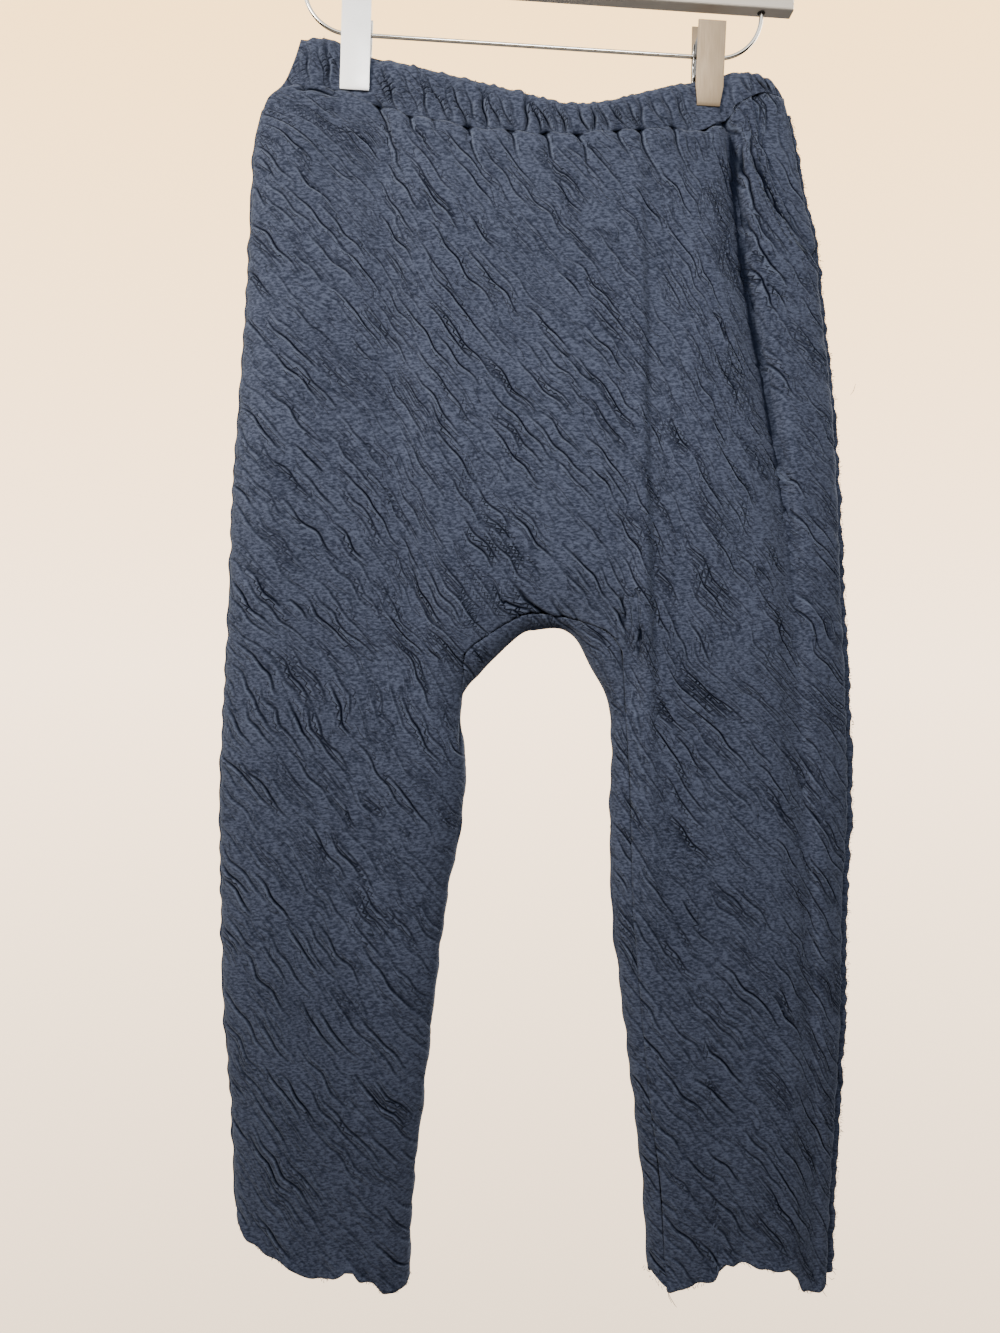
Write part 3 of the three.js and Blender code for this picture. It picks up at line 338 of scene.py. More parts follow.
def ease(value, low=0.0, high=1.0):
    """Zero up to low, one from high, and smooth between them."""
    t = np.clip((value - low) / (high - low), 0, 1)
    return t * t * (3 - 2 * t)


def ripple(z, seed):
    """A small uneven wave along an edge, in millimetres."""
    return (0.55 * np.sin(z / 2.9 + seed + 1.7 * np.sin(z / 23 + seed))
            + 0.45 * np.sin(z / 5.3 + 2 * seed + 1.1 * np.sin(z / 41)))


def left_edge(z):
    return along(z, LEFT_EDGE) + 0.8 * ripple(z, 1.3) * ease(-np.asarray(z, float), 190, 230)


def right_edge(z):
    return along(z, RIGHT_EDGE) + 0.6 * ripple(z, 4.1) * ease(-np.asarray(z, float), 190, 230)


INNER_LINE = (
    [(x, z) for z, x in reversed(LEFT_LEG_INNER)] + CROTCH_ARCH[1:-1]
    + [(x, z) for z, x in RIGHT_LEG_INNER]
)


def rounded_line(points, rounds=2):
    """A line through places in two or three dimensions, with its corners cut off."""
    line = np.array(points, float)
    for _ in range(rounds):
        near = line[:-1] * 0.75 + line[1:] * 0.25
        far = line[:-1] * 0.25 + line[1:] * 0.75
        middle = np.stack([near, far], axis=1).reshape(-1, line.shape[1])
        line = np.concatenate([line[:1], middle, line[-1:]])
    return line


INNER_CONTOUR = rounded_line(INNER_LINE)


def nearest_on_line(px, pz, line):
    """Distance of places from a line, the side of it that they are on, and their share along it."""
    best = np.full(px.shape, 1e9)
    side = np.zeros(px.shape)
    share = np.zeros(px.shape)
    for k, (a, b) in enumerate(zip(line[:-1], line[1:])):
        dx, dz = b - a
        t = np.clip(((px - a[0]) * dx + (pz - a[1]) * dz) / (dx * dx + dz * dz), 0, 1)
        gap = np.hypot(px - a[0] - t * dx, pz - a[1] - t * dz)
        nearer = gap < best
        best = np.where(nearer, gap, best)
        side = np.where(nearer, np.sign(dx * (pz - a[1]) - dz * (px - a[0])), side)
        share = np.where(nearer, (k + t) / (len(line) - 1), share)
    return best, side, share


def inner_distance(x, z):
    """Distance from the line between the legs, positive on the cloth."""
    shape = np.broadcast(x, z).shape
    px, pz = (np.broadcast_to(v, shape).ravel().astype(float) for v in (x, z))
    best, side, _ = nearest_on_line(px, pz, INNER_CONTOUR)
    return (best * np.where(side >= 0, 1.0, -1.0)).reshape(shape)


def inner_edge(z, table, seed):
    """Inner edge of a leg, a little uneven below the crotch."""
    z = np.asarray(z, float)
    return along(z, table) + 0.9 * ripple(z / 1.6, seed) * ease(-z, 615, 640)


def edge_distance(x, z):
    """Distance from the nearest edge of the flat garment."""
    outer = np.minimum(x - left_edge(z), right_edge(z) - x)
    reach = np.minimum(outer, 400.0)
    low = z < -480
    if np.any(low):
        reach = np.where(low, np.minimum(reach, inner_distance(x, z)), reach)
    return reach


def stand_off(side, x, z):
    """How far the cloth stands off the middle plane, with its largest folds."""
    inward = np.clip(edge_distance(x, z) / ROUNDING, 0, 1)
    dome = np.sqrt(np.clip(1 - (1 - inward) ** 2, 0, 1))
    depth = along(z, STAND_OFF[side])
    for fold_side, blunt, path in FOLDS:
        if fold_side != side:
            continue
        inside = (z <= path[0][0]) & (z >= path[-1][0])
        across = x - along(z, path, 1)
        width = along(z, path, 3)
        if path in (RIDGE, ROLL):
            width = np.where(across > 0, 0.45 * width, 1.15 * width)
        distance = across / width
        depth = depth + np.where(inside, along(z, path, 2) * np.exp(-np.abs(distance) ** blunt), 0)
    return dome * depth


def grid_normals(points, side):
    """Unit normals of a grid of places, turned to the front (side -1) or to the back (side 1)."""
    across = np.gradient(points, axis=0)
    down = np.gradient(points, axis=1)
    normal = np.cross(across, down)
    length = np.linalg.norm(normal, axis=2, keepdims=True)
    normal = normal / np.maximum(length, 1e-9)
    return normal if np.sign(normal[..., 1].mean()) == side else -normal


def stronger_line(line, force, other, power):
    """Keeps at each place the line of the stronger crease, with its force."""
    stronger = power > force
    return np.where(stronger, other, line), np.where(stronger, power, force)


def flow(side, x, z):
    """Places along and across the crinkle, in millimetres, as it runs on this side."""
    seen = x * (1 if side < 0 else -1)
    # The creases run steeper beside the long folds
    for fold_side, _, path in LONG_FOLDS:
        if fold_side == side:
            place = along(z, path, 1) * (1 if side < 0 else -1)
            strength = 0.8 * np.clip(np.abs(along(z, path, 2)) / 6, 0, 1)
            seen = seen + strength * 17 * np.tanh((seen - place) / 24)
    slant = sizes().crease_slant
    p = seen * math.cos(slant) - z * math.sin(slant)
    q = seen * math.sin(slant) + z * math.cos(slant)
    q = q + 0.8 * np.sin(p / 8.5 + 1.4 * np.sin(q / 31) + 0.8 * np.sin(p / 37))
    q = q + 3.0 * np.sin(p / 41 + q / 53) + 0.45 * np.sin(p / 3.6 + q / 9)
    return p, q


def crease_field(p, q, weight, seed, spacing):
    """Many short creases scattered along the crinkle's run, as height, painted shade and sharp line.

    The line is kept as its signed distance and its force, so that the finish can draw it finely as a painted
    dark line.
    """
    rng = np.random.default_rng(seed)
    flat_p, flat_q = p.ravel(), q.ravel()
    order = np.argsort(flat_q)
    sorted_q = flat_q[order]
    sorted_p = flat_p[order]
    height = np.zeros(flat_p.size)
    groove = np.zeros(flat_p.size)
    nearest = np.full(flat_p.size, NO_LINE)
    force = np.zeros(flat_p.size)
    for line_q in np.arange(sorted_q[0], sorted_q[-1], spacing):
        start = sorted_p.min() + rng.uniform(-60, 0)
        while start < sorted_p.max():
            length = rng.uniform(22, 56) + rng.uniform(0, 40)
            strength = rng.uniform(0.22, 1.0)
            centre = line_q + rng.uniform(-0.26, 0.26) * spacing
            phase, bend, twin = rng.uniform(0, 6.28), rng.uniform(0.5, 1.5), rng.uniform()
            low, high = np.searchsorted(sorted_q, [centre - 13, centre + 13])
            near_p = sorted_p[low:high]
            t = (near_p - start) / length
            inside = (t > 0) & (t < 1)
            if inside.any():
                index = order[low:high][inside]
                t = t[inside]
                fade = np.sin(np.pi * t) ** 0.6
                # A crease kinks more than it curves
                kink = 0.62 * np.arcsin(0.97 * np.sin(near_p[inside] / 4.9 + phase))
                d = sorted_q[low:high][inside] - centre - bend * kink
                ridge = np.exp(-((d + 2.0) / 1.4) ** 2)
                cut = np.exp(-(d / 1.1) ** 2)
                puff = 0.35 * np.exp(-((d - 5.0) / 3.6) ** 2)
                height[index] += fade * strength * (0.9 * ridge + puff - cut)
                # Painted shade along the crease's cut
                groove[index] += 0.35 * fade * strength * cut
                offsets = [(d, fade * strength)]
                if twin > 0.84:
                    height[index] -= 0.5 * fade * strength * np.exp(-((d + 4.4) / 1.1) ** 2)
                    offsets.append((d + 4.4, 0.7 * fade * strength))
                for gap, power in offsets:
                    nearer = np.abs(gap) < np.abs(nearest[index])
                    chosen = index[nearer]
                    nearest[chosen] = gap[nearer]
                    force[chosen] = power[nearer]
            start += length * rng.uniform(0.8, 1.3)
    height = height.reshape(p.shape) * weight
    groove = np.clip(groove.reshape(p.shape) * weight, 0, 1.4)
    nearest = nearest.reshape(p.shape)
    force = force.reshape(p.shape) * weight * (1 - ease(np.abs(nearest), *LINE_FADE))
    return height, groove, nearest, force


def hand_creases(side, x, z):
    """Height, painted shade and sharp line of the creases that are listed one by one."""
    height = np.zeros(x.shape)
    groove = np.zeros(x.shape)
    nearest = np.full(x.shape, NO_LINE)
    force = np.zeros(x.shape)
    for strength, width, path in (FRONT_CREASES if side < 0 else BACK_CREASES):
        line = rounded_line(path)
        low, high = line.min(axis=0) - 12, line.max(axis=0) + 12
        near = (x > low[0]) & (x < high[0]) & (z > low[1]) & (z < high[1])
        if not near.any():
            continue
        px, pz = x[near], z[near]
        px = px + 0.9 * np.sin(pz / 4.6 + strength * 9) + 0.5 * np.sin(pz / 2.3)
        best, line_side, share = nearest_on_line(px, pz, line)
        signed = best * line_side
        fade = np.clip(np.sin(np.pi * np.clip(share, 0.04, 0.96)), 0, 1) ** 0.5
        cut = np.exp(-(best / width) ** 2)
        ridge = np.exp(-((best - 2.1 * width) / (1.2 * width)) ** 2) * (0.6 + 0.4 * np.sign(signed))
        height[near] += strength * fade * (0.75 * ridge - cut)
        # Painted shade along each listed crease's cut
        groove[near] += 0.45 * strength * fade * cut
        power = np.minimum(strength, 1.0) * fade * (1 - ease(best, *LINE_FADE))
        nearest[near], force[near] = stronger_line(nearest[near], force[near], signed, power)
    return height, groove, nearest, force


def waist_line(x):
    """Height of the waist seam, with the small rise and fall that its gathers give it."""
    x = np.asarray(x, float)
    wave = 0.9 * np.sin(x / 6.3 + 1.2 * np.sin(x / 19))
    return along(x, WAIST_SEAM) + wave + 0.5 * np.sin(x / 2.9)


def column_positions(side, counts):
    """Column numbers spaced evenly in millimetres between the forks, with the forks kept."""
    mark = (0, 1, 2) + GUIDES + (COLUMNS - 2, COLUMNS - 1, COLUMNS)
    ends = []
    for z in (-320.0, -820.0):
        row = [float(straight(z, COLUMN_LINES[side], k + 1)) for k in range(6)]
        low, high = float(left_edge(z)), float(right_edge(z))
        from_left = [low + step for step in EDGE_STEPS]
        from_right = [high - step for step in reversed(EDGE_STEPS)]
        ends.append(from_left + row + from_right)
    mean = (np.array(ends[0]) + np.array(ends[1])) / 2
    columns = []
    bounds = [(0, LEFT_FORK), (LEFT_FORK, RIGHT_FORK), (RIGHT_FORK, COLUMNS)]
    for (first, last), count in zip(bounds, counts):
        low, high = np.interp([first, last], mark, mean)
        columns.append(np.interp(np.linspace(low, high, count + 1)[:-1], mean, mark))
    return np.concatenate(columns + [[COLUMNS]])


def column_x(side, c, z, right):
    """x of a column number at heights z."""
    low, high = left_edge(z), right(z)
    knots = [(k, low + step) for k, step in enumerate(EDGE_STEPS)]
    for k, guide in enumerate(GUIDES):
        x = along(z, COLUMN_LINES[side], k + 1)
        if guide == LEFT_FORK:
            leg = inner_edge(z, LEFT_LEG_INNER, 2.0)
            if side < 0:
                fork = FRONT_LEFT_FORK
                x = np.where(z < fork[0][0], np.where(z > fork[-1][0], straight(z, fork), leg), x)
            else:
                x = np.where(z < LEFT_LEG_INNER[0][0], leg, x)
        if guide == RIGHT_FORK:
            table = RIGHT_INSEAM if side < 0 else RIGHT_LEG_INNER
            edge = along(z, table) if side < 0 else inner_edge(z, table, 5.0)
            x = np.where(z < table[0][0], edge, x)
        knots.append((guide, x))
    knots += [(COLUMNS - k, high - EDGE_STEPS[k]) for k in (2, 1, 0)]
    for (a, xa), (b, xb) in zip(knots[:-1], knots[1:]):
        if a <= c <= b:
            return xa + (xb - xa) * (c - a) / (b - a)
    raise ValueError("column outside the piece")


def front_right(z):
    """Right edge of the front piece: the pocket mouth, and below it the side seam."""
    mouth = straight(z, POCKET_MOUTH)
    return np.where(np.asarray(z) < POCKET_FOOT, right_edge(z), np.minimum(right_edge(z), mouth))


def place_panel(side, columns, torso_count, leg_count):
    """Places of a panel as x and z, for each column and row of its fine grid."""
    right = front_right if side < 0 else right_edge
    arch = CROTCH_SEAM if side < 0 else CROTCH_ARCH
    fork_row = -585.0 if side < 0 else -590.0
    xs, zs = [], []
    for c in columns:
        top, hem = -185.0, -1040.0
        for _ in range(6):
            top = float(waist_line(column_x(side, c, np.array([top]), right))[0])
            hem = float(straight(column_x(side, c, np.array([hem]), right), HEM)[0])
        in_arch = LEFT_FORK <= c <= RIGHT_FORK
        share = (c - LEFT_FORK) / (RIGHT_FORK - LEFT_FORK)
        arch_x = arch[0][0] + (arch[-1][0] - arch[0][0]) * share
        fork = float(along(arch_x, arch)) if in_arch else fork_row
        torso = np.linspace(top, fork, torso_count + 1)
        leg = np.linspace(fork, hem, leg_count + 1)[1:]
        z = np.concatenate([torso, leg])
        x = column_x(side, c, z, right)
        if in_arch:
            rows_left = column_x(side, LEFT_FORK, z, right)
            rows_right = column_x(side, RIGHT_FORK, z, right)
            inside = rows_left + (rows_right - rows_left) * share
            late = ease(np.arange(len(z)) / torso_count, 0.8, 1.0)
            upper = inside + (arch_x - inside) * late
            x = np.where(np.arange(len(z)) <= torso_count, upper, x)
        xs.append(x)
        zs.append(z)
    return np.array(xs), np.array(zs)


def seam_gathers(side, x, z):
    """Groove of the waist seam, its dimples with their falling tucks, and the puffs between, with a short
    painted shade dash at each dimple.
    """
    below = waist_line(x) - z
    height = -0.25 * np.exp(-(below / 2.4) ** 2)
    puff = np.ones(x.shape)
    dash = np.zeros(x.shape)
    nearest = np.full(x.shape, NO_LINE)
    force = np.zeros(x.shape)
    for place, deep, fall in (DIMPLES if side < 0 else BACK_DIMPLES):
        lean = (0.34 if side < 0 else -0.34) * np.maximum(below, 0)
        wander = 2.0 * np.sin(below / 8 + place)
        across = x - place - lean - wander * ease(below, 0, 12)
        fade = np.where(below >= 0, np.clip(1 - below / fall, 0, 1) ** 0.8, np.exp(below / 5))
        tuck = 1.9 + 0.05 * np.maximum(below, 0)
        height = height - 1.5 * deep * fade * np.exp(-(across / tuck) ** 2)
        height = height + 0.55 * deep * fade * np.exp(-((np.abs(across) - 4.4) / 2.4) ** 2)
        puff = puff - 0.8 * deep * np.exp(-(across / 7) ** 2)
        # Painted shade: a short dark dash on the seam at each dimple, which also sinks the seam a little
        dash = dash + deep * np.exp(-((x - place) / 4.6) ** 2) * np.exp(-(below / 1.6) ** 2)
        power = np.minimum(1.0, deep) * fade * (1 - ease(np.abs(across), *LINE_FADE))
        nearest, force = stronger_line(nearest, force, -across, power)
    swell = 1.5 * np.clip(puff, 0, 1) * np.exp(-((below - 8) / 8) ** 2)
    return height + swell * (below > -1) - 1.2 * dash, dash, nearest, force


def hem_roll(side, x, hem, edge):
    """The raw hem rolls outward in uneven waves: where it does, and how far."""
    roll = np.exp(-np.maximum(hem, 0) / 5.5) * ease(edge, 0, 10)
    wave = 2.3 + 1.5 * np.sin(x / 6.1 + side) + 0.9 * np.sin(x / 2.7)
    return roll, wave


def valley_painted_shade(x, z):
    """Painted deep shade where the right side rolls over, and beside the crisp ridge."""
    across = x - along(z, ROLL, 1) - 0.2 - 0.5 * np.sin(z / 9)
    deep = ease(-z, 180, 218) * (1 - 0.88 * ease(-z, 330, 620))
    soft_side = 0.46 * np.exp(-(across / 8.0) ** 2) * (across < 0)
    rolled = deep * (1.0 * np.exp(-(across / 2.8) ** 2) + soft_side)
    across = x - along(z, RIDGE, 1)
    beside_ridge = ease(-z, 230, 330) * (1 - ease(-z, 560, 640)) * np.exp(-((across - 4.5) / 2.6) ** 2)
    return rolled + 0.3 * beside_ridge


def panel_surface(side, x, z, seed):
    """Outer face of a panel with all its relief, its painted shade and its flow places."""
    y = side * (MID_GAP + stand_off(side, x, z))
    points = np.stack([x, y, z], axis=2)
    normal = grid_normals(points, side)
    edge = edge_distance(x, z)
    below = waist_line(x) - z
    hem = z - straight(x, HEM)
    p, q = flow(side, x, z)
    weight = (0.35 + 0.65 * ease(edge, 0, 7)) * ease(below, 1, 16)
    weight = weight * (0.45 + 0.55 * ease(hem, 1, 10))
    creases, groove, line, force = crease_field(p, q, weight, seed, sizes().crease_spacing / MM)
    broad = 0.9 * np.sin(x / 31 + z / 57) * np.sin(z / 73 - x / 49) * ease(edge, 4, 30)
    relief = sizes().crease_height / MM * creases + broad * ease(below, 10, 60)
    gathers, dash, tuck_line, tuck_force = seam_gathers(side, x, z)
    relief = relief + gathers * ease(edge, 0, 6)
    # Painted shade in the tuck hollows under the waist and at the seam's dimples
    groove = groove + 0.55 * np.clip((-gathers - 0.9) / 1.7, 0, 1) * (below < 60) + 1.1 * dash
    placed_height, placed_painted_shade, placed_line, placed_force = hand_creases(side, x, z)
    relief = relief + placed_height
    groove = groove + placed_painted_shade
    for other, power in ((tuck_line, tuck_force), (placed_line, placed_force)):
        line, force = stronger_line(line, force, other, power)
    # Painted shade in the front's valley, by the right side where it rolls over and beside the ridge
    if side < 0:
        groove = groove + valley_painted_shade(x, z)
    # No crease cuts through to the other panel
    room = np.maximum(np.abs(y) - 0.4, 0)
    relief = np.maximum(relief, -room * 0.8)
    points = points + normal * relief[..., None]
    roll, wave = hem_roll(side, x, hem, edge)
    points[..., 1] += side * roll * wave
    points[..., 2] += roll * 0.9 * np.sin(x / 3.3 + 1.4 * np.sin(x / 11)) * (hem < 4)
    return points, normal, {"groove": groove, "flow_p": p, "flow_q": q, "line": line, "force": force}


def cell_corners(index, cells):
    """Numbers of the four corners of each chosen cell of a grid."""
    return (index[:-1, :-1][cells], index[1:, :-1][cells],
            index[1:, 1:][cells], index[:-1, 1:][cells])


def thin_shell(name, points, normal, present, wall, values):
    """A closed shell: a fine outer face, a plain inner face of fewer places, and their rim.

    present tells which cells of the grid hold cloth, in blocks of INNER_SKIP.
    """
    columns, rows = points.shape[:2]
    outer_index = np.arange(columns * rows).reshape(columns, rows)
    step = INNER_SKIP
    coarse = points[::step, ::step] - normal[::step, ::step] * wall
    inner_index = np.arange(coarse.shape[0] * coarse.shape[1]).reshape(coarse.shape[:2])
    inner_index += columns * rows
    vertices = np.concatenate([points.reshape(-1, 3), coarse.reshape(-1, 3)])
    a, b, c, d = cell_corners(outer_index, present)
    faces = np.stack([a, d, c, b], axis=1)
    block = present[::step, ::step]
    inner = np.stack(cell_corners(inner_index, block), axis=1)
    sample = vertices[faces[len(faces) // 2]]
    facing = np.cross(sample[1] - sample[0], sample[2] - sample[0])
    outward = normal.reshape(-1, 3)[faces[len(faces) // 2][0]]
    turned = float(np.dot(facing, outward)) < 0
    if turned:
        faces, inner = faces[:, ::-1], inner[:, ::-1]
    rim = []
    padded = np.pad(block, 1)
    half = step // 2
    for i, j in np.argwhere(block):
        runs = {
            (-1, 0): [(i * step, j * step + k) for k in range(step + 1)],
            (1, 0): [((i + 1) * step, (j + 1) * step - k) for k in range(step + 1)],
            (0, 1): [(i * step + k, (j + 1) * step) for k in range(step + 1)],
            (0, -1): [((i + 1) * step - k, j * step) for k in range(step + 1)],
        }
        for (di, dj), run in runs.items():
            if padded[i + 1 + di, j + 1 + dj]:
                continue
            fine = [outer_index[place] for place in run]
            start = inner_index[run[0][0] // step, run[0][1] // step]
            end = inner_index[run[-1][0] // step, run[-1][1] // step]
            for k in range(step):
                rim.append((fine[k + 1], fine[k], start if k < half else end))
            rim.append((fine[half], start, end))
    rim = np.array(rim)
    if turned:
        rim = rim[:, ::-1]
    used = np.zeros(len(vertices), bool)
    for part in (faces, inner, rim):
        used[part.ravel()] = True
    renumber = np.cumsum(used) - 1
    all_faces = []
    for part in (faces, inner, rim):
        all_faces += renumber[part].tolist()
    attributes = {
        key: np.concatenate([value.ravel(), value[::step, ::step].ravel()])[used]
        for key, value in values.items()
    }
    return cloth_object(name, vertices[used], all_faces, attributes)


def cloth_object(name, vertices, faces, attributes):
    """A mesh object from places in millimetres, with its painted shade attribute and flow map."""
    mesh = bpy.data.meshes.new(name)
    mesh.from_pydata((np.asarray(vertices) * MM).tolist(), [], [list(map(int, f)) for f in faces])
    mesh.validate()
    for key in ("groove", "line", "force"):
        if key in attributes:
            kept = mesh.attributes.new(key, "FLOAT", "POINT")
            kept.data.foreach_set("value", np.asarray(attributes[key], np.float32))
    corner = np.zeros(len(mesh.loops), np.int32)
    mesh.loops.foreach_get("vertex_index", corner)
    uv = mesh.uv_layers.new(name="flow")
    pairs = np.stack([attributes["flow_p"], attributes["flow_q"]], axis=1) / 100
    uv.data.foreach_set("uv", pairs[corner].astype(np.float32).ravel())
    mesh.polygons.foreach_set("use_smooth", np.ones(len(mesh.polygons), bool))
    mesh.update()
    made = bpy.data.objects.new(name, mesh)
    bpy.context.scene.collection.objects.link(made)
    return made


def ring_sweep(name, rings, values, caps=True, loop=False):
    """A closed tube through rings that all have the same number of places."""
    rings = np.asarray(rings, float)
    count, size = rings.shape[:2]
    index = np.arange(count * size).reshape(count, size)
    faces = []
    last = count if loop else count - 1
    for k in range(last):
        following = (k + 1) % count
        for m in range(size):
            n = (m + 1) % size
            faces.append((index[k, m], index[k, n], index[following, n], index[following, m]))
    if caps and not loop:
        faces.append(tuple(reversed(index[0])))
        faces.append(tuple(index[-1]))
    made = cloth_object(name, rings.reshape(-1, 3), faces, values)
    face_outwards(made)
    return made


def face_outwards(made):
    """Turns the faces of a closed single-walled mesh outwards."""
    shape = bmesh.new()
    shape.from_mesh(made.data)
    bmesh.ops.recalc_face_normals(shape, faces=shape.faces)
    if shape.calc_volume(signed=True) < 0:
        bmesh.ops.reverse_faces(shape, faces=shape.faces)
    shape.to_mesh(made.data)
    shape.free()


def add_node(tree, kind, settings=None, inputs=None, links=None):
    """One shader node with its settings, its input values and its incoming links."""
    node = tree.nodes.new(kind)
    for key, value in (settings or {}).items():
        setattr(node, key, value)
    for key, value in (inputs or {}).items():
        node.inputs[key].default_value = value
    for key, source in (links or {}).items():
        tree.links.new(source, node.inputs[key])
    return node


def new_material(name):
    material = bpy.data.materials.new(name)
    material.use_nodes = True
    material.node_tree.nodes.clear()
    return material, material.node_tree


def finish_material(tree, shader):
    add_node(tree, "ShaderNodeOutputMaterial", links={"Surface": shader.outputs["BSDF"]})


def crinkled_jersey():
    """Crinkled cotton jersey, marl yarn, brushed by wear: matt, with a short nap at grazing light, painted
    shade in its grooves and crease lines, and a painted highlight beside each main crease.
    """
    material, tree = new_material("crinkled_marl_jersey")
    place = add_node(tree, "ShaderNodeTexCoord").outputs["Object"]
    flow_map = add_node(tree, "ShaderNodeUVMap", {"uv_map": "flow"}).outputs["UV"]
    groove = add_node(tree, "ShaderNodeAttribute", {"attribute_name": "groove"}).outputs["Fac"]
    away = add_node(tree, "ShaderNodeAttribute", {"attribute_name": "line"}).outputs["Fac"]
    force = add_node(tree, "ShaderNodeAttribute", {"attribute_name": "force"}).outputs["Fac"]
    # Marl: level flecks about 5 mm long and 1.3 mm high, drawn a little coarser than the yarn
    flecks_at = add_node(tree, "ShaderNodeMapping", inputs={"Scale": (330.0, 330.0, 720.0)},
                         links={"Vector": place}).outputs[0]
    flecks = add_node(tree, "ShaderNodeTexNoise",
                      inputs={"Scale": 1.0, "Detail": 2.0, "Roughness": 0.6},
                      links={"Vector": flecks_at}).outputs["Fac"]
    fleck = add_node(tree, "ShaderNodeMapRange", {"interpolation_type": "SMOOTHSTEP"},
                     {"From Min": 0.3, "From Max": 0.72}, {"Value": flecks}).outputs["Result"]
    patches = add_node(tree, "ShaderNodeTexNoise",
                       inputs={"Scale": 34.0, "Detail": 3.0, "Roughness": 0.55},
                       links={"Vector": place}).outputs["Fac"]
    cloud = add_node(tree, "ShaderNodeMapRange",
                     inputs={"From Min": 0.35, "From Max": 0.65, "To Min": -0.07, "To Max": 0.07},
                     links={"Value": patches}).outputs["Result"]
    tone = add_node(tree, "ShaderNodeMath", {"operation": "ADD", "use_clamp": True},
                    links={0: fleck, 1: cloud}).outputs[0]
    yarn = add_node(tree, "ShaderNodeMix", {"data_type": "RGBA"},
                    {6: tint("jersey_dark"), 7: tint("jersey_light")}, {0: tone}).outputs[2]
    # Painted shade and highlight: each main crease is a sharp dark line that fades 1.3 mm off, with a
    # painted light flank 1.7 mm beside it
    off_line = add_node(tree, "ShaderNodeMath", {"operation": "ABSOLUTE"}, links={0: away}).outputs[0]
    sharp = add_node(tree, "ShaderNodeMapRange", {"interpolation_type": "SMOOTHSTEP"},
                     {"From Min": 0.1, "From Max": 1.3, "To Min": 1.0, "To Max": 0.0},
                     {"Value": off_line}).outputs["Result"]
    crease = add_node(tree, "ShaderNodeMath", {"operation": "MULTIPLY"},
                      links={0: sharp, 1: force}).outputs[0]
    beside = add_node(tree, "ShaderNodeMath", {"operation": "ADD"}, {1: 1.7}, {0: away}).outputs[0]
    off_flank = add_node(tree, "ShaderNodeMath", {"operation": "ABSOLUTE"}, links={0: beside}).outputs[0]
    lit = add_node(tree, "ShaderNodeMapRange", {"interpolation_type": "SMOOTHSTEP"},
                   {"From Min": 0.0, "From Max": 1.1, "To Min": 1.0, "To Max": 0.0},
                   {"Value": off_flank}).outputs["Result"]
    flank = add_node(tree, "ShaderNodeMath", {"operation": "MULTIPLY"},
                     links={0: lit, 1: force}).outputs[0]
    # Thin secondary creases, drawn as painted shade lines and as bumps: wandering lines, long along the
    # crinkle and about 9 mm apart
    line_at = add_node(tree, "ShaderNodeMapping", inputs={"Scale": (2.9, 11.5, 1.0)},
                       links={"Vector": flow_map}).outputs[0]
    wander = add_node(tree, "ShaderNodeTexNoise",
                      inputs={"Scale": 1.0, "Detail": 2.0, "Roughness": 0.45},
                      links={"Vector": line_at}).outputs["Fac"]
    centred = add_node(tree, "ShaderNodeMath", {"operation": "SUBTRACT"}, {1: 0.5}, {0: wander}).outputs[0]
    distance = add_node(tree, "ShaderNodeMath", {"operation": "ABSOLUTE"}, links={0: centred}).outputs[0]
    line = add_node(tree, "ShaderNodeMapRange", {"interpolation_type": "SMOOTHSTEP"},
                    {"From Min": 0.0, "From Max": 0.028, "To Min": 1.0, "To Max": 0.0},
                    {"Value": distance}).outputs["Result"]
    breaks_at = add_node(tree, "ShaderNodeMapping",
                         inputs={"Scale": (3.6, 6.0, 1.0), "Location": (3.0, 7.0, 0.0)},
                         links={"Vector": flow_map}).outputs[0]
    breaks = add_node(tree, "ShaderNodeTexNoise", inputs={"Scale": 1.0, "Detail": 1.0},
                      links={"Vector": breaks_at}).outputs["Fac"]
    broken = add_node(tree, "ShaderNodeMapRange", {"interpolation_type": "SMOOTHSTEP"},
                      {"From Min": 0.45, "From Max": 0.6, "To Max": 0.45},
                      {"Value": breaks}).outputs["Result"]
    fine_line = add_node(tree, "ShaderNodeMath", {"operation": "MULTIPLY"},
                         links={0: line, 1: broken}).outputs[0]
    # Painted shade: dark in the grooves and on the crease lines, with no nap left to catch the light there
    shade = add_node(tree, "ShaderNodeMapRange", {"interpolation_type": "SMOOTHSTEP"},
                     {"From Min": 0.06, "From Max": 0.9, "To Max": 0.94},
                     {"Value": groove}).outputs["Result"]
    drawn = add_node(tree, "ShaderNodeMath", {"operation": "MAXIMUM"},
                     links={0: crease, 1: fine_line}).outputs[0]
    soft = add_node(tree, "ShaderNodeMath", {"operation": "MULTIPLY"}, {1: 1.05}, {0: drawn}).outputs[0]
    dark = add_node(tree, "ShaderNodeMath", {"operation": "MAXIMUM", "use_clamp": True},
                    links={0: shade, 1: soft}).outputs[0]
    # Painted highlight on the light flank of each main crease
    painted_highlight = add_node(tree, "ShaderNodeMath", {"operation": "MULTIPLY"}, {1: 0.3}, {0: flank}).outputs[0]
    nap = add_node(tree, "ShaderNodeMapRange", inputs={"To Min": 0.2, "To Max": 0.0},
                   links={"Value": dark}).outputs["Result"]
    with_painted_highlight = add_node(tree, "ShaderNodeMix", {"data_type": "RGBA"}, {7: tint("jersey_painted_highlight")},
                      {0: painted_highlight, 6: yarn}).outputs[2]
    # Painted shade mixed in from the grooves and the crease lines
    colour = add_node(tree, "ShaderNodeMix", {"data_type": "RGBA"}, {7: tint("jersey_painted_shade")},
                      {0: dark, 6: with_painted_highlight}).outputs[2]
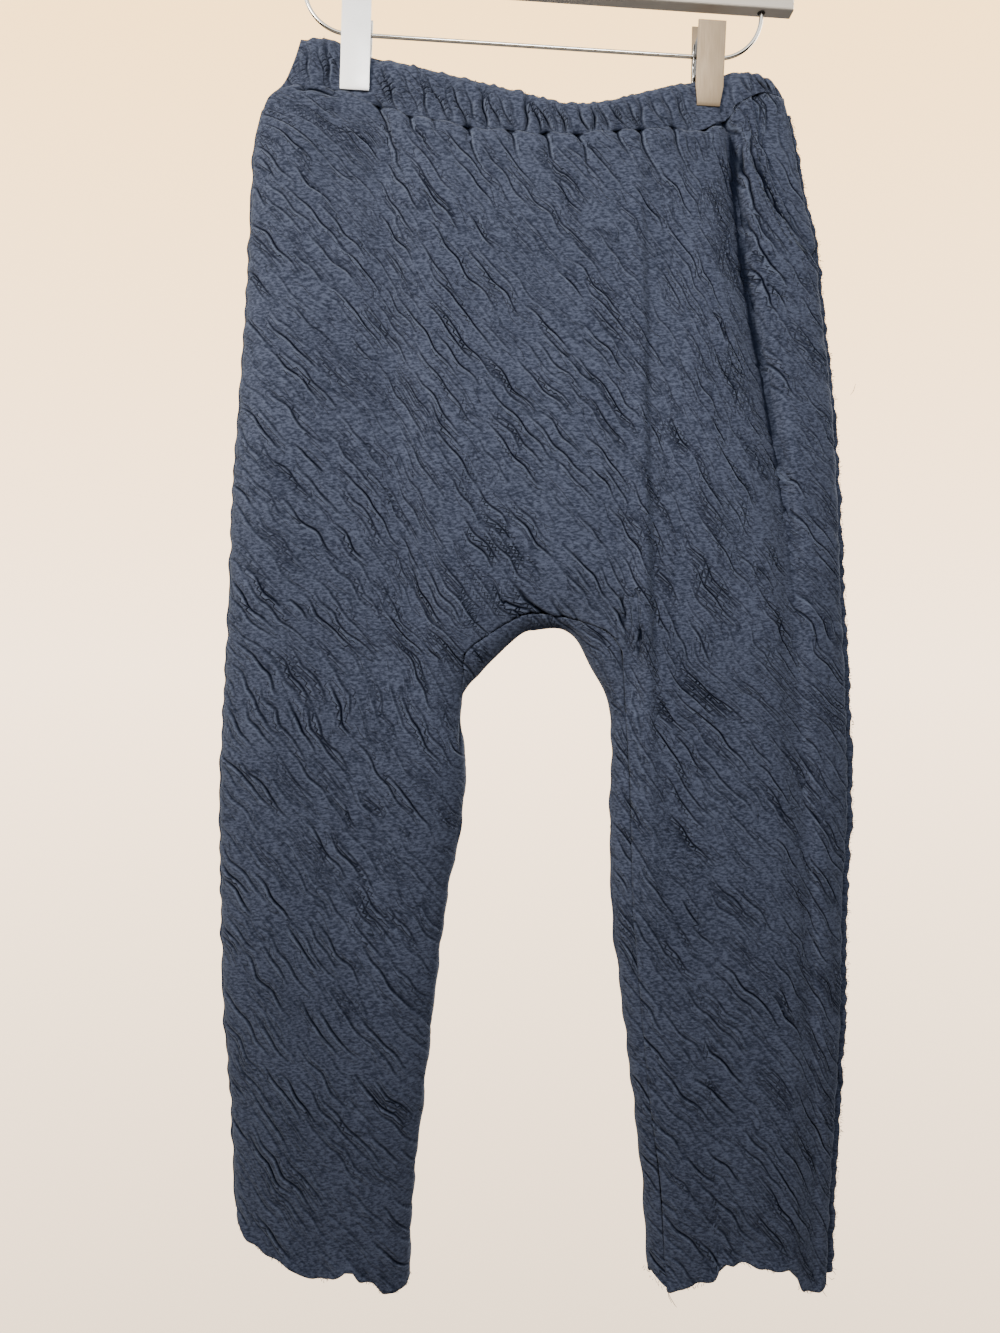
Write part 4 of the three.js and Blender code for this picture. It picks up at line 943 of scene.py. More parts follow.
    # Knit loops under a nap: a fine grain of about 0.8 mm
    grain_at = add_node(tree, "ShaderNodeMapping", inputs={"Scale": (900.0, 900.0, 1500.0)},
                        links={"Vector": place}).outputs[0]
    grain = add_node(tree, "ShaderNodeTexNoise", inputs={"Scale": 1.0, "Detail": 2.0, "Roughness": 0.7},
                     links={"Vector": grain_at}).outputs["Fac"]
    low_grain = add_node(tree, "ShaderNodeMath", {"operation": "MULTIPLY"}, {1: 0.22}, {0: grain}).outputs[0]
    with_marl = add_node(tree, "ShaderNodeMath", {"operation": "MULTIPLY_ADD"}, {1: 0.25},
                         {0: flecks, 2: low_grain}).outputs[0]
    with_lines = add_node(tree, "ShaderNodeMath", {"operation": "MULTIPLY_ADD"}, {1: -1.1},
                          {0: drawn, 2: with_marl}).outputs[0]
    height = add_node(tree, "ShaderNodeMath", {"operation": "MULTIPLY_ADD"}, {1: 0.3},
                      {0: flank, 2: with_lines}).outputs[0]
    bump = add_node(tree, "ShaderNodeBump", inputs={"Strength": 1.0, "Distance": 0.001},
                    links={"Height": height})
    shader = add_node(tree, "ShaderNodeBsdfPrincipled",
                      inputs={"Roughness": 0.92, "Sheen Roughness": 0.55,
                              "Sheen Tint": (0.75, 0.82, 0.95, 1.0)},
                      links={"Base Color": colour, "Normal": bump.outputs["Normal"],
                             "Sheen Weight": nap, "Specular IOR Level": nap})
    finish_material(tree, shader)
    return material


def loose_fibre():
    """Cotton fibres pulled from a raw edge: matt and a little paler than the cloth."""
    material, tree = new_material("loose_cotton_fibre")
    place = add_node(tree, "ShaderNodeTexCoord").outputs["Object"]
    tone = add_node(tree, "ShaderNodeTexNoise", inputs={"Scale": 300.0, "Detail": 1.0},
                    links={"Vector": place}).outputs["Fac"]
    colour = add_node(tree, "ShaderNodeMix", {"data_type": "RGBA"},
                      {6: tint("jersey_dark"), 7: linear("#626C7C")}, {0: tone}).outputs[2]
    shader = add_node(tree, "ShaderNodeBsdfPrincipled",
                      inputs={"Roughness": 0.95, "Specular IOR Level": 0.2, "Sheen Weight": 0.2},
                      links={"Base Color": colour})
    finish_material(tree, shader)
    return material


def sewing_thread():
    """Spun polyester thread: twisted, faintly glossy, close to the cloth's colour."""
    material, tree = new_material("spun_polyester_thread")
    place = add_node(tree, "ShaderNodeTexCoord").outputs["Object"]
    twist = add_node(tree, "ShaderNodeTexWave", {"bands_direction": "DIAGONAL"},
                     {"Scale": 900.0, "Distortion": 1.0}, {"Vector": place}).outputs["Fac"]
    colour = add_node(tree, "ShaderNodeMix", {"data_type": "RGBA"},
                      {6: tint("thread"), 7: linear("#20283A")}, {0: twist}).outputs[2]
    bump = add_node(tree, "ShaderNodeBump", inputs={"Strength": 0.4, "Distance": 0.0002},
                    links={"Height": twist})
    shader = add_node(tree, "ShaderNodeBsdfPrincipled", inputs={"Roughness": 0.6},
                      links={"Base Color": colour, "Normal": bump.outputs["Normal"]})
    finish_material(tree, shader)
    return material


def satin_aluminium():
    """Bead-blasted and anodised aluminium: pale, with a fine even sparkle and soft reflections."""
    material, tree = new_material("satin_anodised_aluminium")
    place = add_node(tree, "ShaderNodeTexCoord").outputs["Object"]
    # Blast grit of about 0.5 mm, drawn near 1 mm so that it shows
    grit = add_node(tree, "ShaderNodeTexNoise", inputs={"Scale": 1100.0, "Detail": 2.0, "Roughness": 0.7},
                    links={"Vector": place}).outputs["Fac"]
    wear = add_node(tree, "ShaderNodeTexNoise", inputs={"Scale": 45.0, "Detail": 3.0},
                    links={"Vector": place}).outputs["Fac"]
    rough = add_node(tree, "ShaderNodeMapRange",
                     inputs={"From Min": 0.3, "From Max": 0.7, "To Min": 0.42, "To Max": 0.58},
                     links={"Value": wear}).outputs["Result"]
    colour = add_node(tree, "ShaderNodeMix", {"data_type": "RGBA"},
                      {6: linear("#ECEBEA"), 7: tint("aluminium")}, {0: grit}).outputs[2]
    bump = add_node(tree, "ShaderNodeBump", inputs={"Strength": 0.35, "Distance": 0.00012},
                    links={"Height": grit})
    shader = add_node(tree, "ShaderNodeBsdfPrincipled", inputs={"Metallic": 0.55},
                      links={"Base Color": colour, "Roughness": rough, "Normal": bump.outputs["Normal"]})
    finish_material(tree, shader)
    return material


def shaded_aluminium():
    """Aluminium of the right clip's plates, coloured darker and warmer than the left clip's as painted
    shade: an even satin, duller than the blasted one.
    """
    material, tree = new_material("rolled_satin_aluminium")
    place = add_node(tree, "ShaderNodeTexCoord").outputs["Object"]
    # Rolling lines run up the plate, about 1 mm apart
    lines_at = add_node(tree, "ShaderNodeMapping", inputs={"Scale": (900.0, 900.0, 40.0)},
                        links={"Vector": place}).outputs[0]
    lines = add_node(tree, "ShaderNodeTexNoise", inputs={"Scale": 1.0, "Detail": 2.0},
                     links={"Vector": lines_at}).outputs["Fac"]
    rough = add_node(tree, "ShaderNodeMapRange",
                     inputs={"From Min": 0.3, "From Max": 0.7, "To Min": 0.5, "To Max": 0.62},
                     links={"Value": lines}).outputs["Result"]
    colour = add_node(tree, "ShaderNodeMix", {"data_type": "RGBA"},
                      {6: linear("#AB977D"), 7: tint("rolled")}, {0: lines}).outputs[2]
    bump = add_node(tree, "ShaderNodeBump", inputs={"Strength": 0.2, "Distance": 0.0001},
                    links={"Height": lines})
    shader = add_node(tree, "ShaderNodeBsdfPrincipled", inputs={"Metallic": 0.5},
                      links={"Base Color": colour, "Roughness": rough, "Normal": bump.outputs["Normal"]})
    finish_material(tree, shader)
    return material


def chrome_wire():
    """Drawn steel wire, chrome plated: sharp reflections, with faint draw lines and handling marks."""
    material, tree = new_material("chrome_plated_wire")
    place = add_node(tree, "ShaderNodeTexCoord").outputs["Object"]
    marks = add_node(tree, "ShaderNodeTexNoise", inputs={"Scale": 160.0, "Detail": 4.0, "Roughness": 0.65},
                     links={"Vector": place}).outputs["Fac"]
    rough = add_node(tree, "ShaderNodeMapRange",
                     inputs={"From Min": 0.35, "From Max": 0.75, "To Min": 0.09, "To Max": 0.22},
                     links={"Value": marks}).outputs["Result"]
    colour = add_node(tree, "ShaderNodeMix", {"data_type": "RGBA"},
                      {6: linear("#C9C6C0"), 7: tint("chrome")}, {0: marks}).outputs[2]
    shader = add_node(tree, "ShaderNodeBsdfPrincipled", inputs={"Metallic": 1.0},
                      links={"Base Color": colour, "Roughness": rough})
    finish_material(tree, shader)
    return material


def black_cheek():
    """Pressed steel with black oxide: dark, slightly glossy, worn a touch at its edges."""
    material, tree = new_material("black_oxide_steel")
    place = add_node(tree, "ShaderNodeTexCoord").outputs["Object"]
    marks = add_node(tree, "ShaderNodeTexNoise", inputs={"Scale": 220.0, "Detail": 3.0},
                     links={"Vector": place}).outputs["Fac"]
    rough = add_node(tree, "ShaderNodeMapRange",
                     inputs={"From Min": 0.3, "From Max": 0.7, "To Min": 0.3, "To Max": 0.55},
                     links={"Value": marks}).outputs["Result"]
    colour = add_node(tree, "ShaderNodeMix", {"data_type": "RGBA"},
                      {6: tint("cheek"), 7: linear("#34302D")}, {0: marks}).outputs[2]
    shader = add_node(tree, "ShaderNodeBsdfPrincipled", inputs={"Metallic": 0.5},
                      links={"Base Color": colour, "Roughness": rough})
    finish_material(tree, shader)
    return material


def white_lacquer():
    """Sprayed white lacquer on wood: satin, with a soft ripple and grain that shows through faintly."""
    material, tree = new_material("white_lacquered_wood")
    place = add_node(tree, "ShaderNodeTexCoord").outputs["Object"]
    # Grain runs along the bar, about 2 mm from line to line
    grain_at = add_node(tree, "ShaderNodeMapping", inputs={"Scale": (14.0, 420.0, 420.0)},
                        links={"Vector": place}).outputs[0]
    grain = add_node(tree, "ShaderNodeTexNoise", inputs={"Scale": 1.0, "Detail": 3.0, "Roughness": 0.6},
                     links={"Vector": grain_at}).outputs["Fac"]
    peel = add_node(tree, "ShaderNodeTexNoise", inputs={"Scale": 400.0, "Detail": 1.0},
                    links={"Vector": place}).outputs["Fac"]
    height = add_node(tree, "ShaderNodeMath", {"operation": "MULTIPLY_ADD"}, {1: 0.3},
                      {0: peel, 2: grain}).outputs[0]
    bump = add_node(tree, "ShaderNodeBump", inputs={"Strength": 0.25, "Distance": 0.0003},
                    links={"Height": height})
    colour = add_node(tree, "ShaderNodeMix", {"data_type": "RGBA"},
                      {6: linear("#E6DCCB"), 7: tint("lacquer")}, {0: grain}).outputs[2]
    shader = add_node(tree, "ShaderNodeBsdfPrincipled",
                      inputs={"Roughness": 0.36, "Coat Weight": 0.25, "Coat Roughness": 0.2},
                      links={"Base Color": colour, "Normal": bump.outputs["Normal"]})
    finish_material(tree, shader)
    return material


def painted_floor():
    """Plain matt paint."""
    material, tree = new_material("matt_floor_paint")
    place = add_node(tree, "ShaderNodeTexCoord").outputs["Object"]
    tone = add_node(tree, "ShaderNodeTexNoise", inputs={"Scale": 2.0, "Detail": 2.0},
                    links={"Vector": place}).outputs["Fac"]
    colour = add_node(tree, "ShaderNodeMix", {"data_type": "RGBA"},
                      {6: linear("#D6CDC0"), 7: tint("floor")}, {0: tone}).outputs[2]
    shader = add_node(tree, "ShaderNodeBsdfPrincipled", inputs={"Roughness": 0.9},
                      links={"Base Color": colour})
    finish_material(tree, shader)
    return material


def material_named(name, maker):
    return bpy.data.materials.get(name) or maker()


def jersey():
    return material_named("crinkled_marl_jersey", crinkled_jersey)


def give_finish(made, material):
    made.data.materials.clear()
    made.data.materials.append(material)


def dress(made, material, slot, *nodes):
    """Gives a piece its finish and its body, and hides the solids that it stands for."""
    give_finish(made, material)
    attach(made, "root")
    if nodes:
        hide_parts(*nodes)
    return made


def panel_counts(side):
    """Numbers of mesh steps over the left leg, the crotch and the right leg, and down the panel."""
    step = sizes().cell / MM
    down = step * ROW_STRETCH
    columns = [max(4, INNER_SKIP * round(w / step / INNER_SKIP)) for w in PANEL_WIDTHS[side]]
    torso = INNER_SKIP * round(TORSO_LENGTH / down / INNER_SKIP)
    leg = INNER_SKIP * round(LEG_LENGTH / down / INNER_SKIP)
    return columns, torso, leg


def present_cells(counts, torso, leg):
    """All cells of a panel's grid but those between the legs."""
    present = np.ones((sum(counts), torso + leg), bool)
    present[counts[0]:counts[0] + counts[1], torso:] = False
    return present


def make_panel(name, side, seed):
    """One panel of the trousers as a closed shell."""
    counts, torso, leg = panel_counts(side)
    columns = column_positions(side, counts)
    x, z = place_panel(side, columns, torso, leg)
    points, normal, values = panel_surface(side, x, z, seed)
    return thin_shell(name, points, normal, present_cells(counts, torso, leg), WALL, values)


class PANTS_OT_front(bpy.types.Operator):
    """Front piece: one wide panel over both legs, cut away at the pocket mouth"""
    bl_idname = "pants.front"
    bl_label = "Front"

    def execute(self, context):
        front = make_panel("front_cloth", -1, 11)
        dress(front, jersey(), "jersey", "front_panel")
        return {"FINISHED"}


class PANTS_OT_back(bpy.types.Operator):
    """Back piece: one wide panel over both legs, and its turn to the front round the crotch"""
    bl_idname = "pants.back"
    bl_label = "Back"

    def execute(self, context):
        back = make_panel("back_cloth", 1, 23)
        dress(back, jersey(), "jersey", "back_panel")
        turn = dress(make_turn(), jersey(), "jersey", "back_panel")
        return {"FINISHED"}


def turn_paths(count):
    """Inner silhouette and the seam in front, from the left leg over the crotch to the right hem."""
    inner = rounded_line(
        [(-57, -612), (-52, -604.5), (-46, -599)] + CROTCH_ARCH
        + [(x, z) for z, x in RIGHT_LEG_INNER[1:-1]] + [(79.6, -1036)]
    )
    seam = rounded_line(
        [(-57.4, -613), (-57.3, -600)] + CROTCH_SEAM
        + [(x, z) for z, x in RIGHT_INSEAM[1:-1]] + [(90.8, -1046)]
    )
    lines = []
    for line, corner_x in ((inner, 53.4), (seam, 61)):
        length = np.concatenate([[0], np.cumsum(np.hypot(*np.diff(line, axis=0).T))])
        corner = int(np.argmin(np.hypot(line[:, 0] - corner_x, line[:, 1] + 631)))
        share = np.where(
            length <= length[corner],
            ARCH_SHARE * length / length[corner],
            ARCH_SHARE + (1 - ARCH_SHARE) * (length - length[corner]) / (length[-1] - length[corner]),
        )
        wanted = np.linspace(0, 1, count)
        lines.append(np.stack([np.interp(wanted, share, line[:, k]) for k in (0, 1)], axis=1))
    return lines


def make_turn():
    """The strip of the back piece that shows in front, from the fold at the inner edge to the seam."""
    count = 300
    steps = 12
    length = 620
    inner, seam = turn_paths(count)
    on_leg = (inner[:, 1] < -612) & (inner[:, 0] > 0)
    inner[on_leg, 0] += (inner_edge(inner[on_leg, 1], RIGHT_LEG_INNER, 5.0)
                         - along(inner[on_leg, 1], RIGHT_LEG_INNER))
    # Two more rows turn from the fold into the leg
    share = np.clip(np.arange(-2, steps + 1) / steps, 0, 1)[:, None]
    x, z = (inner[:, k] + (seam[:, k] - inner[:, k]) * share for k in (0, 1))
    # The foot of the strip tucks in under the front piece
    foot = ease(-z, 1012, 1034)
    x = x + 2.2 * share ** 3 * foot
    off = stand_off(-1, x, z)
    run = np.linspace(0, 1, count)[None, :]
    lip = (0.8 + 0.5 * ripple(run * length + 0 * share, 0.7)) * np.sin(np.pi * share)
    y = -(MID_GAP + off + lip * ease(off, 0.4, 3))
    y = y + (0.3 + 0.6 * (run < ARCH_SHARE) + 1.2 * foot) * (share > 0.98)
    p, q = flow(-1, x, z)
    weight = ease(share, 0.0, 0.25) * np.ones(x.shape)
    creases, fine_painted_shade, line, force = crease_field(p, q, weight, 57, 6.5)
    y = y - 0.9 * creases * ease(share, 0, 0.3) * ease(1 - share, 0, 0.12)
    roll, wave = hem_roll(-1, x, z - straight(x, HEM), edge_distance(x, z))
    y = y - roll * wave
    for k in (0, 1):
        y[k] = 1.2 * (2 - k) + 0.2
    outside = np.stack([x, y, z], axis=2)
    inside = outside[::-1] + np.array([0, 1.5, 0])
    plain = np.zeros(p.shape)
    groove = np.concatenate([fine_painted_shade, plain])
    # Painted shade: the seam's edge is a little darker
    groove[steps + 1:steps + 4] += 0.2
    rings = np.swapaxes(np.concatenate([outside, inside]), 0, 1)
    values = {
        "groove": groove.T.ravel(),
        "flow_p": np.concatenate([p, p[::-1]]).T.ravel(),
        "flow_q": np.concatenate([q, q[::-1]]).T.ravel(),
        "line": np.concatenate([line, plain + NO_LINE]).T.ravel(),
        "force": np.concatenate([force, plain]).T.ravel(),
    }
    return ring_sweep("crotch_turn_cloth", rings, values)


class PANTS_OT_waistband(bpy.types.Operator):
    """Waistband: a folded casing over elastic, gathered all round"""
    bl_idname = "pants.waistband"
    bl_label = "Waistband"

    def execute(self, context):
        band = dress(make_waistband(), jersey(), "jersey", "waistband")
        return {"FINISHED"}


def band_row(eased, height, scalloped=False):
    """x and z of one row of the casing, from its seam at 0 to its top at 1, and its middle height."""
    z = np.full(eased.shape, -175.0)
    for _ in range(6):
        x = left_edge(z) + (right_edge(z) - left_edge(z)) * eased
        low = waist_line(x) + 0.06
        high = along(x, BAND_TOP)
        if scalloped:
            scallop = 0.75 * np.sin(x / 1.5 + 1.3 * np.sin(x / 5.1)) + 0.6 * np.sin(x / 3.1)
            high = high + scallop * ease(height, 0.8, 1.0)
        z = low + (np.maximum(high, low + 12) - low) * height
    return x, z, (low + high) / 2


def arch(height, start):
    """How strongly the gathers show at a height of the casing: most in its middle."""
    return math.sin(math.pi * min(1, start + height))


def make_waistband():
    """The casing as one closed ring: sixteen rows outside and three inside."""
    stations = 400
    heights = np.array([0, 0.03, 0.07, 0.13, 0.2, 0.28, 0.36, 0.45,
                        0.54, 0.63, 0.72, 0.8, 0.87, 0.93, 0.975, 1.0])
    rng = np.random.default_rng(5)
    rings, painted_shades, flows, lines, forces = [], [], [], [], []
    for side in (-1, 1):
        # Uneven gathers: each has its place, depth, width and lean
        gathers = []
        where = -188.0
        while where < 186:
            deep, wide, lean = rng.uniform(0.35, 1.1), rng.uniform(1.0, 1.9), rng.uniform(-0.75, 0.0)
            gathers.append((where, deep, wide, lean))
            where += rng.uniform(5.0, 10.5)
        shares = np.arange(stations) / stations
        share = shares if side < 0 else 1 - shares
        eased = share * 0.55 + (1 - np.cos(np.pi * share)) / 2 * 0.45
        outer_rows, painted_shade_rows, line_rows, force_rows = [], [], [], []
        for height in heights:
            x, z, middle_z = band_row(eased, height, scalloped=True)
            out = stand_off(side, x, z)
            clip_gap = np.minimum(*[np.abs(x - grip) for grip in CLIP_GRIPS])
            free = 0.12 + 0.88 * ease(clip_gap, 10, 17)
            relief = np.zeros(stations)
            groove = np.zeros(stations)
            nearest = np.full(stations, NO_LINE)
            force = np.zeros(stations)
            for place, deep, wide, lean in gathers:
                across = x - place - lean * (z - middle_z) - 0.8 * np.sin(z / 3.1 + place)
                cut = np.exp(-(across / wide) ** 2)
                puff = np.exp(-((np.abs(across) - 2.4 * wide) / wide) ** 2)
                relief = relief - 2.3 * deep * cut + 1.3 * deep * puff
                # Painted shade in each gather's cut
                groove = groove + 0.5 * deep * np.exp(-(across / (0.7 * wide)) ** 2)
                nearer = np.abs(across) < np.abs(nearest)
                nearest = np.where(nearer, -across, nearest)
                force = np.where(nearer, deep, force)
            for place, deep, _ in (DIMPLES if side < 0 else BACK_DIMPLES):
                near = np.exp(-((x - place) / 3.4) ** 2) * np.exp(-height / 0.22)
                relief = relief - 3.4 * deep * near
                shade = np.exp(-((x - place) / 3.8) ** 2) * math.exp(-height / 0.07)
                # Painted shade at each dimple, just above the seam
                groove = groove + 1.3 * deep * shade
            belly = 1.1 * math.sin(math.pi * height) - 0.15 * math.exp(-height / 0.06)
            top_roll = -3.1 * max(0.0, (height - 0.8) / 0.2) ** 2.2
            swell = (relief * arch(0.8 * height, 0.12) + belly) * free + top_roll
            reach = np.where(shares == 0, 0, out + swell * ease(out, 0.5, 4))
            outer_rows.append(np.stack([x, side * np.maximum(reach, 0), z], axis=1))
            line_rows.append(nearest)
            drawn = 1 - ease(np.abs(nearest), 2.0, 3.0)
            force_rows.append(force * free * drawn * arch(height, 0.1))
            # Painted shade shown in the gathers, weaker near the band's top, and a faint darkening along the
            # seam
            shown = np.clip(groove * free * (0.25 + 0.75 * arch(height, 0.15)), 0, 1.2)
            painted_shade_rows.append(shown + 0.04 * math.exp(-height / 0.05))
        inner_rows = []
        for height in (1.0, 0.5, 0.0):
            x, z, _ = band_row(eased, height)
            middle = (left_edge(z) + right_edge(z)) / 2
            span = (right_edge(z) - left_edge(z)) / 2
            in_x = middle + (x - middle) * (span - 5.2) / span
            out = np.maximum(0.12, stand_off(side, in_x, z) - BAND_WALL)
            out = np.where(shares == 0, 0, out)
            inner_rows.append(np.stack([in_x, side * out, z], axis=1))
            painted_shade_rows.append(np.zeros(stations))
            line_rows.append(np.full(stations, NO_LINE))
            force_rows.append(np.zeros(stations))
        rings.append(np.stack(outer_rows + inner_rows, axis=1))
        painted_shades.append(np.stack(painted_shade_rows, axis=1))
        lines.append(np.stack(line_rows, axis=1))
        forces.append(np.stack(force_rows, axis=1))
        p, q = flow(side, rings[-1][..., 0], rings[-1][..., 2])
        flows.append((p, q))
    rings = np.concatenate(rings)
    values = {
        "groove": np.concatenate(painted_shades).ravel(),
        "line": np.concatenate(lines).ravel(),
        "force": np.concatenate(forces).ravel(),
        "flow_p": np.concatenate([f[0] for f in flows]).ravel(),
        "flow_q": np.concatenate([f[1] for f in flows]).ravel(),
    }
    return ring_sweep("waistband_cloth", rings, values, loop=True)


class PANTS_OT_pocket(bpy.types.Operator):
    """Right slash pocket: its facing, which shows beyond the mouth, and the topstitch beside it"""
    bl_idname = "pants.pocket"
    bl_label = "Pocket"

    def execute(self, context):
        facing = dress(make_facing(), jersey(), "jersey", "pocket_facing_right")
        dress(make_mouth_stitches(), material_named("spun_polyester_thread", sewing_thread), "jersey")
        return {"FINISHED"}


def make_facing():
    """The facing behind the mouth, out to the side seam."""
    columns, rows = 28, 72
    share = np.linspace(0, 1, columns + 1)[:, None]
    z = np.linspace(-170, -302, rows + 1)[None, :] + 0 * share
    mouth = along(z, POCKET_MOUTH)
    tuck = np.clip((-278 - z) / 12, 0, 1) * 5
    x = mouth - 14 + (right_edge(z) - tuck - mouth + 14) * share
    top = waist_line(x)
    z = np.where(np.arange(rows + 1)[None, :] == 0, top, np.minimum(z, top))
    edge = right_edge(z) - x
    points = np.stack([x, -(MID_GAP + stand_off(-1, x, z)), z], axis=2)
    normal = grid_normals(points, -1)
    mouth_edge = np.maximum(2, right_edge(z) - mouth - 3)
    depth = 2.4 + 3 * np.clip((-262 - z) / 25, 0, 1)
    p, q = flow(-1, x, z)
    spacing = sizes().crease_spacing / MM
    creases, groove, line, force = crease_field(p, q, ease(edge, 0, 6), 41, spacing)
    relief = -depth * np.clip(edge / mouth_edge, 0, 1) + 0.6 * creases
    points = points + normal * relief[..., None]
    present = np.ones((columns, rows), bool)
    values = {"groove": groove, "flow_p": p, "flow_q": q, "line": line, "force": force}
    return thin_shell("pocket_facing_cloth", points, normal, present, 1.6, values)


def surface_point(side, x, z, lift):
    """A place on the cloth in front or behind, lifted off it."""
    step = 0.4
    near_x = np.array([x, x - step, x + step, x, x])
    near_z = np.array([z, z, z, z - step, z + step])
    off, left, right, below, above = stand_off(side, near_x, near_z)
    normal = np.array([left - right, side * 2 * step, below - above])
    normal = normal / np.linalg.norm(normal)
    return np.array([x, side * (MID_GAP + off), z]) + normal * lift


def tube_mesh(paths, radius, sides):
    """Vertices and faces of many thin tubes, each through its own few places."""
    vertices, faces = [], []
    for path in paths:
        path = np.asarray(path, float)
        tangent = np.gradient(path, axis=0)
        tangent = tangent / np.maximum(np.linalg.norm(tangent, axis=1, keepdims=True), 1e-9)
        up = np.array([0.0, 0.0, 1.0]) if abs(tangent[0][2]) < 0.8 else np.array([1.0, 0.0, 0.0])
        base = len(vertices)
        for k, (point, along_path) in enumerate(zip(path, tangent)):
            first = np.cross(along_path, up)
            first = first / np.linalg.norm(first)
            second = np.cross(along_path, first)
            taper = radius * (1.0 if 0 < k < len(path) - 1 else 0.55)
            for m in range(sides):
                angle = 2 * math.pi * m / sides
                vertices.append(point + taper * (math.cos(angle) * first + math.sin(angle) * second))
        for k in range(len(path) - 1):
            for m in range(sides):
                n = (m + 1) % sides
                low, high = base + k * sides, base + (k + 1) * sides
                faces.append((low + m, low + n, high + n, high + m))
        faces.append(tuple(base + m for m in reversed(range(sides))))
        faces.append(tuple(base + (len(path) - 1) * sides + m for m in range(sides)))
    return vertices, faces


def tube_object(name, paths, radius, sides=4):
    """Many thin tubes as one object."""
    vertices, faces = tube_mesh(paths, radius, sides)
    zeros = np.zeros(len(vertices))
    made = cloth_object(name, vertices, faces, {"groove": zeros, "flow_p": zeros, "flow_q": zeros})
    face_outwards(made)
    return made


def make_mouth_stitches():
    """Two lines of stitches along the mouth, and the bartack at its lower end."""
    paths = []
    pitch, stitch = 4.2, 2.7
    into_cloth = np.array([0, 0.7, 0])
    for inset, start in ((5.5, -176.0), (11.0, -178.0)):
        z = start
        while z > -280:
            upper, lower = (
                surface_point(-1, float(along(height, POCKET_MOUTH)) - inset, height, 0.45)
                for height in (z, z - stitch)
            )
            middle = (upper + lower) / 2 + np.array([0, -0.25, 0])
            paths.append([upper + into_cloth, upper, middle, lower, lower + into_cloth])
            z -= pitch
    for k in range(7):
        z = -281 - 0.9 * k
        x = float(along(z, POCKET_MOUTH)) - 2
        first = surface_point(-1, x - 6.5, z + 1.6, 0.7)
        last = surface_point(-1, x, z - 1.6, 0.7)
        paths.append([first, (first + last) / 2 + np.array([0, -0.2, 0]), last])
    return tube_object("pocket_stitches", paths, 0.32)


class PANTS_OT_allowances(bpy.types.Operator):
    """Raw seam allowances of the side seams, left outside the garment"""
    bl_idname = "pants.allowances"
    bl_label = "Seam allowances"

    def execute(self, context):
        right = dress(make_right_allowance(), jersey(), "jersey", "seam_allowance_right")
        left = dress(make_left_allowance(), jersey(), "jersey", "seam_allowance_left")
        return {"FINISHED"}


def flange_width(z):
    """How far the right allowance stands out, without its waves."""
    return 2.4 + 2.2 * np.clip((-250 - z) / 500, 0, 1)


def make_right_allowance():
    """A wavy flange that stands out from the side seam."""
    rows = 560
    z = np.linspace(-180, -1046, rows)
    width = flange_width(z) + 0.4 * np.sin(z / 1.7)
    width = width + 0.45 * ripple(z * 1.3 + 6 * np.sin(z / 17), 2.2)
    width = width + 2.2 * np.exp(-((z + 654) / 5) ** 2)
    width = np.maximum(width, 1.2)
    sway = 0.8 * np.sin(z / 10.1 + 2 * np.sin(z / 37)) + 0.5 * np.sin(z / 4.3) + 0.4
    x = right_edge(z)
    # Each place round the flange: how far out it is, and how far in front or behind
    outline = ((0.0, -1.0), (0.5, -0.95), (0.85, -0.8), (1.0, -0.25),
               (1.0, 0.25), (0.85, 0.8), (0.5, 0.95), (0.0, 1.0))
    rings = np.stack([
        np.stack([x + width * out, half + sway * out, z], axis=1) for out, half in outline
    ], axis=1)
    # Painted shade: a little darker along the flange's root at the seam
    values = {"groove": np.tile([0.2, 0, 0, 0, 0, 0, 0, 0.2], rows),
              "flow_p": rings[..., 2].ravel(), "flow_q": rings[..., 0].ravel()}
    return ring_sweep("right_side_allowance", rings, values)


def make_left_allowance():
    """A strip that lies folded back behind the left leg."""
    rows = 420
    step = 0.4
    z = np.linspace(-186, -986, rows)
    wave = 0.4 * np.sin(z / 6)[:, None]
    near, far = [], []
    for inward in (0.2, 3.5, 8.3 + 0.8 * ripple(z, 3.3)):
        x = left_edge(z) + inward
        off = stand_off(1, x, z)
        slope = (stand_off(1, x + step, z) - stand_off(1, x - step, z)) / (2 * step)
        normal = np.stack([-slope, np.ones(rows), np.zeros(rows)], axis=1)
        normal = normal / np.linalg.norm(normal, axis=1, keepdims=True)
        point = np.stack([x, MID_GAP + off, z], axis=1)
        near.append(point + normal * 0.4)
        far.append(point + normal * (1.9 + wave))
    rings = np.stack(near + far[::-1], axis=1)
    # Painted shade: darker at the strip's edge by the side seam, fading inward
    values = {"groove": np.tile([0.4, 0.2, 0.0, 0.0, 0.0, 0.3], rows),
              "flow_p": rings[..., 2].ravel(), "flow_q": rings[..., 0].ravel()}
    return ring_sweep("left_side_allowance", rings, values)


class PANTS_OT_fray(bpy.types.Operator):
    """Fibres and loose threads at the raw edges"""
    bl_idname = "pants.fray"
    bl_label = "Frayed edges"

    def execute(self, context):
        dress(make_fuzz(), material_named("loose_cotton_fibre", loose_fibre), "jersey")
        return {"FINISHED"}


